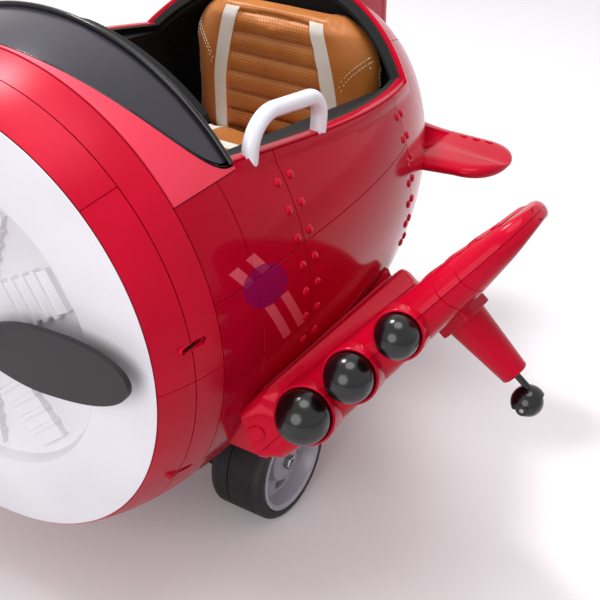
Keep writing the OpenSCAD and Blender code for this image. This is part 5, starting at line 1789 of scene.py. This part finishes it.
@dataclass
class KeptNodes:
    """The nodes that keep their own shape and only get a finish."""

    nodes: tuple[tuple[Finish, str], ...] = (
        (NOSE, "dummy_engine"), (BODY, "belly_panel"), (TRIM, "coaming_trim"),
        (MATT_BLACK, "frame_rings cockpit_tub dashboard seat_shell"), (BODY, "wing_root_rails"),
        (GLOSS_BLACK, "caster_swivel_left caster_swivel_right"), (FRAME_PAINT, "chassis_frame"),
        (STEEL, "drive_axle"), (MATT_BLACK, "gearbox_left gearbox_right"), (RIM, "rim_left rim_right"),
        (MATT_BLACK, "tail_caster_socket tail_fork"), (TYRE, "tail_wheel"), (NOSE, "spinner"),
        (STEEL, "propeller_shaft propeller_motor"), (MATT_BLACK, "battery control_box charge_socket"),
        (GLOSS_BLACK, "joystick_left joystick_right"), (SIGNAL, "start_button"), (NOSE, "horn_button"))

    def build(self) -> None:
        """Smooths the shading of each node and gives it its finish."""
        for name, finish in ((name, finish) for finish, names in self.nodes for name in names.split()):
            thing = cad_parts[name]
            for polygon in thing.data.polygons:
                polygon.use_smooth = True
            weld = thing.modifiers.new("weld", "WELD")
            weld.merge_threshold = 0.00002
            crease = thing.modifiers.new("crease", "EDGE_SPLIT")
            crease.split_angle = radians(30)
            if thing.material_slots:
                for place in thing.material_slots:
                    place.material = finish.material()
            else:
                thing.data.materials.append(finish.material())
            LOG.info("%s keeps its shape in %s", name, finish.name)


# Studio


@dataclass
class Studio:
    """The floor, the lights and the camera."""

    eye: tuple[float, float, float] = (0.940, -1.203, 1.154)
    back: tuple[float, float, float] = (0.4547, -0.7137, 0.5329)
    lens: float = 70.3

    def build(self) -> None:
        """Sets the scene up."""
        self.camera()
        self.floor()
        self.light("key", (-1.1, 0.4, 3.0), 0.55, 52)
        self.light("front", (0.4, -3.0, 1.5), 2.2, 44)
        self.light("top", (0.5, -0.2, 3.0), 1.6, 30)
        self.world()
        view = bpy.context.scene.view_settings
        view.view_transform = "Standard"

    def camera(self) -> None:
        """Places the camera at the photograph's angle."""
        data = bpy.data.cameras.new("camera")
        data.lens = self.lens
        data.sensor_width = 36.0
        eye = bpy.data.objects.new("camera", data)
        eye.matrix_world = Matrix.Translation(self.eye) @ pointing(Vector(self.back))
        bpy.context.scene.collection.objects.link(eye)
        bpy.context.scene.camera = eye

    def light(self, name: str, where: Sequence[float], size: float, power: float) -> None:
        """Adds a soft round light that faces the object."""
        data = bpy.data.lights.new(name, "AREA")
        data.shape = "DISK"
        data.size = size
        data.energy = power
        lamp = bpy.data.objects.new(name, data)
        lamp.matrix_world = Matrix.Translation(where) @ pointing(Vector(where) - Vector((0, 0, 0.35)))
        bpy.context.scene.collection.objects.link(lamp)

    def floor(self) -> None:
        """Lays the plain pale floor."""
        bm = bmesh.new()
        bmesh.ops.create_grid(bm, x_segments=1, y_segments=1, size=14.0)
        mesh = bpy.data.meshes.new("floor")
        bm.to_mesh(mesh)
        bm.free()
        floor = bpy.data.objects.new("floor", mesh)
        floor.data.materials.append(self.paper())
        bpy.context.scene.collection.objects.link(floor)

    def paper(self) -> bpy.types.Material:
        """The floor's finish: pale where it is seen, and greyer where it only throws light back."""
        sheet = NodeSheet("floor_paper")
        cloud = sheet.noise(2.0, 2.0)
        pale = sheet.ramp(cloud, [(0.3, (0.90, 0.885, 0.905)), (0.7, (0.92, 0.905, 0.925))])
        colour = sheet.mixed(self.seen(sheet.tree), (0.42, 0.40, 0.42), pale)
        sheet.set(Base_Color=colour, Roughness=0.8, Specular_IOR_Level=0.1)
        return sheet.result

    def seen(self, tree: bpy.types.NodeTree) -> NodeSocket:
        """A share of 1 for camera, glossy and transmission rays."""
        path = tree.nodes.new("ShaderNodeLightPath")
        total = path.outputs["Is Camera Ray"]
        for name in ("Is Glossy Ray", "Is Transmission Ray"):
            either = tree.nodes.new("ShaderNodeMath")
            either.operation = "MAXIMUM"
            tree.links.new(total, either.inputs[0])
            tree.links.new(path.outputs[name], either.inputs[1])
            total = either.outputs[0]
        return total

    def world(self) -> None:
        """Lights the scene evenly and shows white behind it."""
        world = bpy.data.worlds.new("studio")
        world.use_nodes = True
        tree = world.node_tree
        strength = tree.nodes.new("ShaderNodeMapRange")
        tree.links.new(self.seen(tree), strength.inputs["Value"])
        strength.inputs["To Min"].default_value = 0.6
        strength.inputs["To Max"].default_value = 1.0
        background = tree.nodes["Background"]
        background.inputs["Color"].default_value = (1.0, 0.99, 1.0, 1.0)
        tree.links.new(strength.outputs["Result"], background.inputs["Strength"])
        bpy.context.scene.world = world


def main() -> None:
    """Builds the airplane, piece by piece, in its studio."""
    logging.basicConfig(level=logging.INFO, format="%(name)s: %(message)s")
    Studio().build()
    Fuselage().build()
    for side in Side:
        Wing(side).build()
    TailSurfaces().build()
    Seat().build()
    GrabHandles().build()
    Wheels().build()
    Propeller().build()
    KeptNodes().build()


if __name__ == "__main__":
    main()
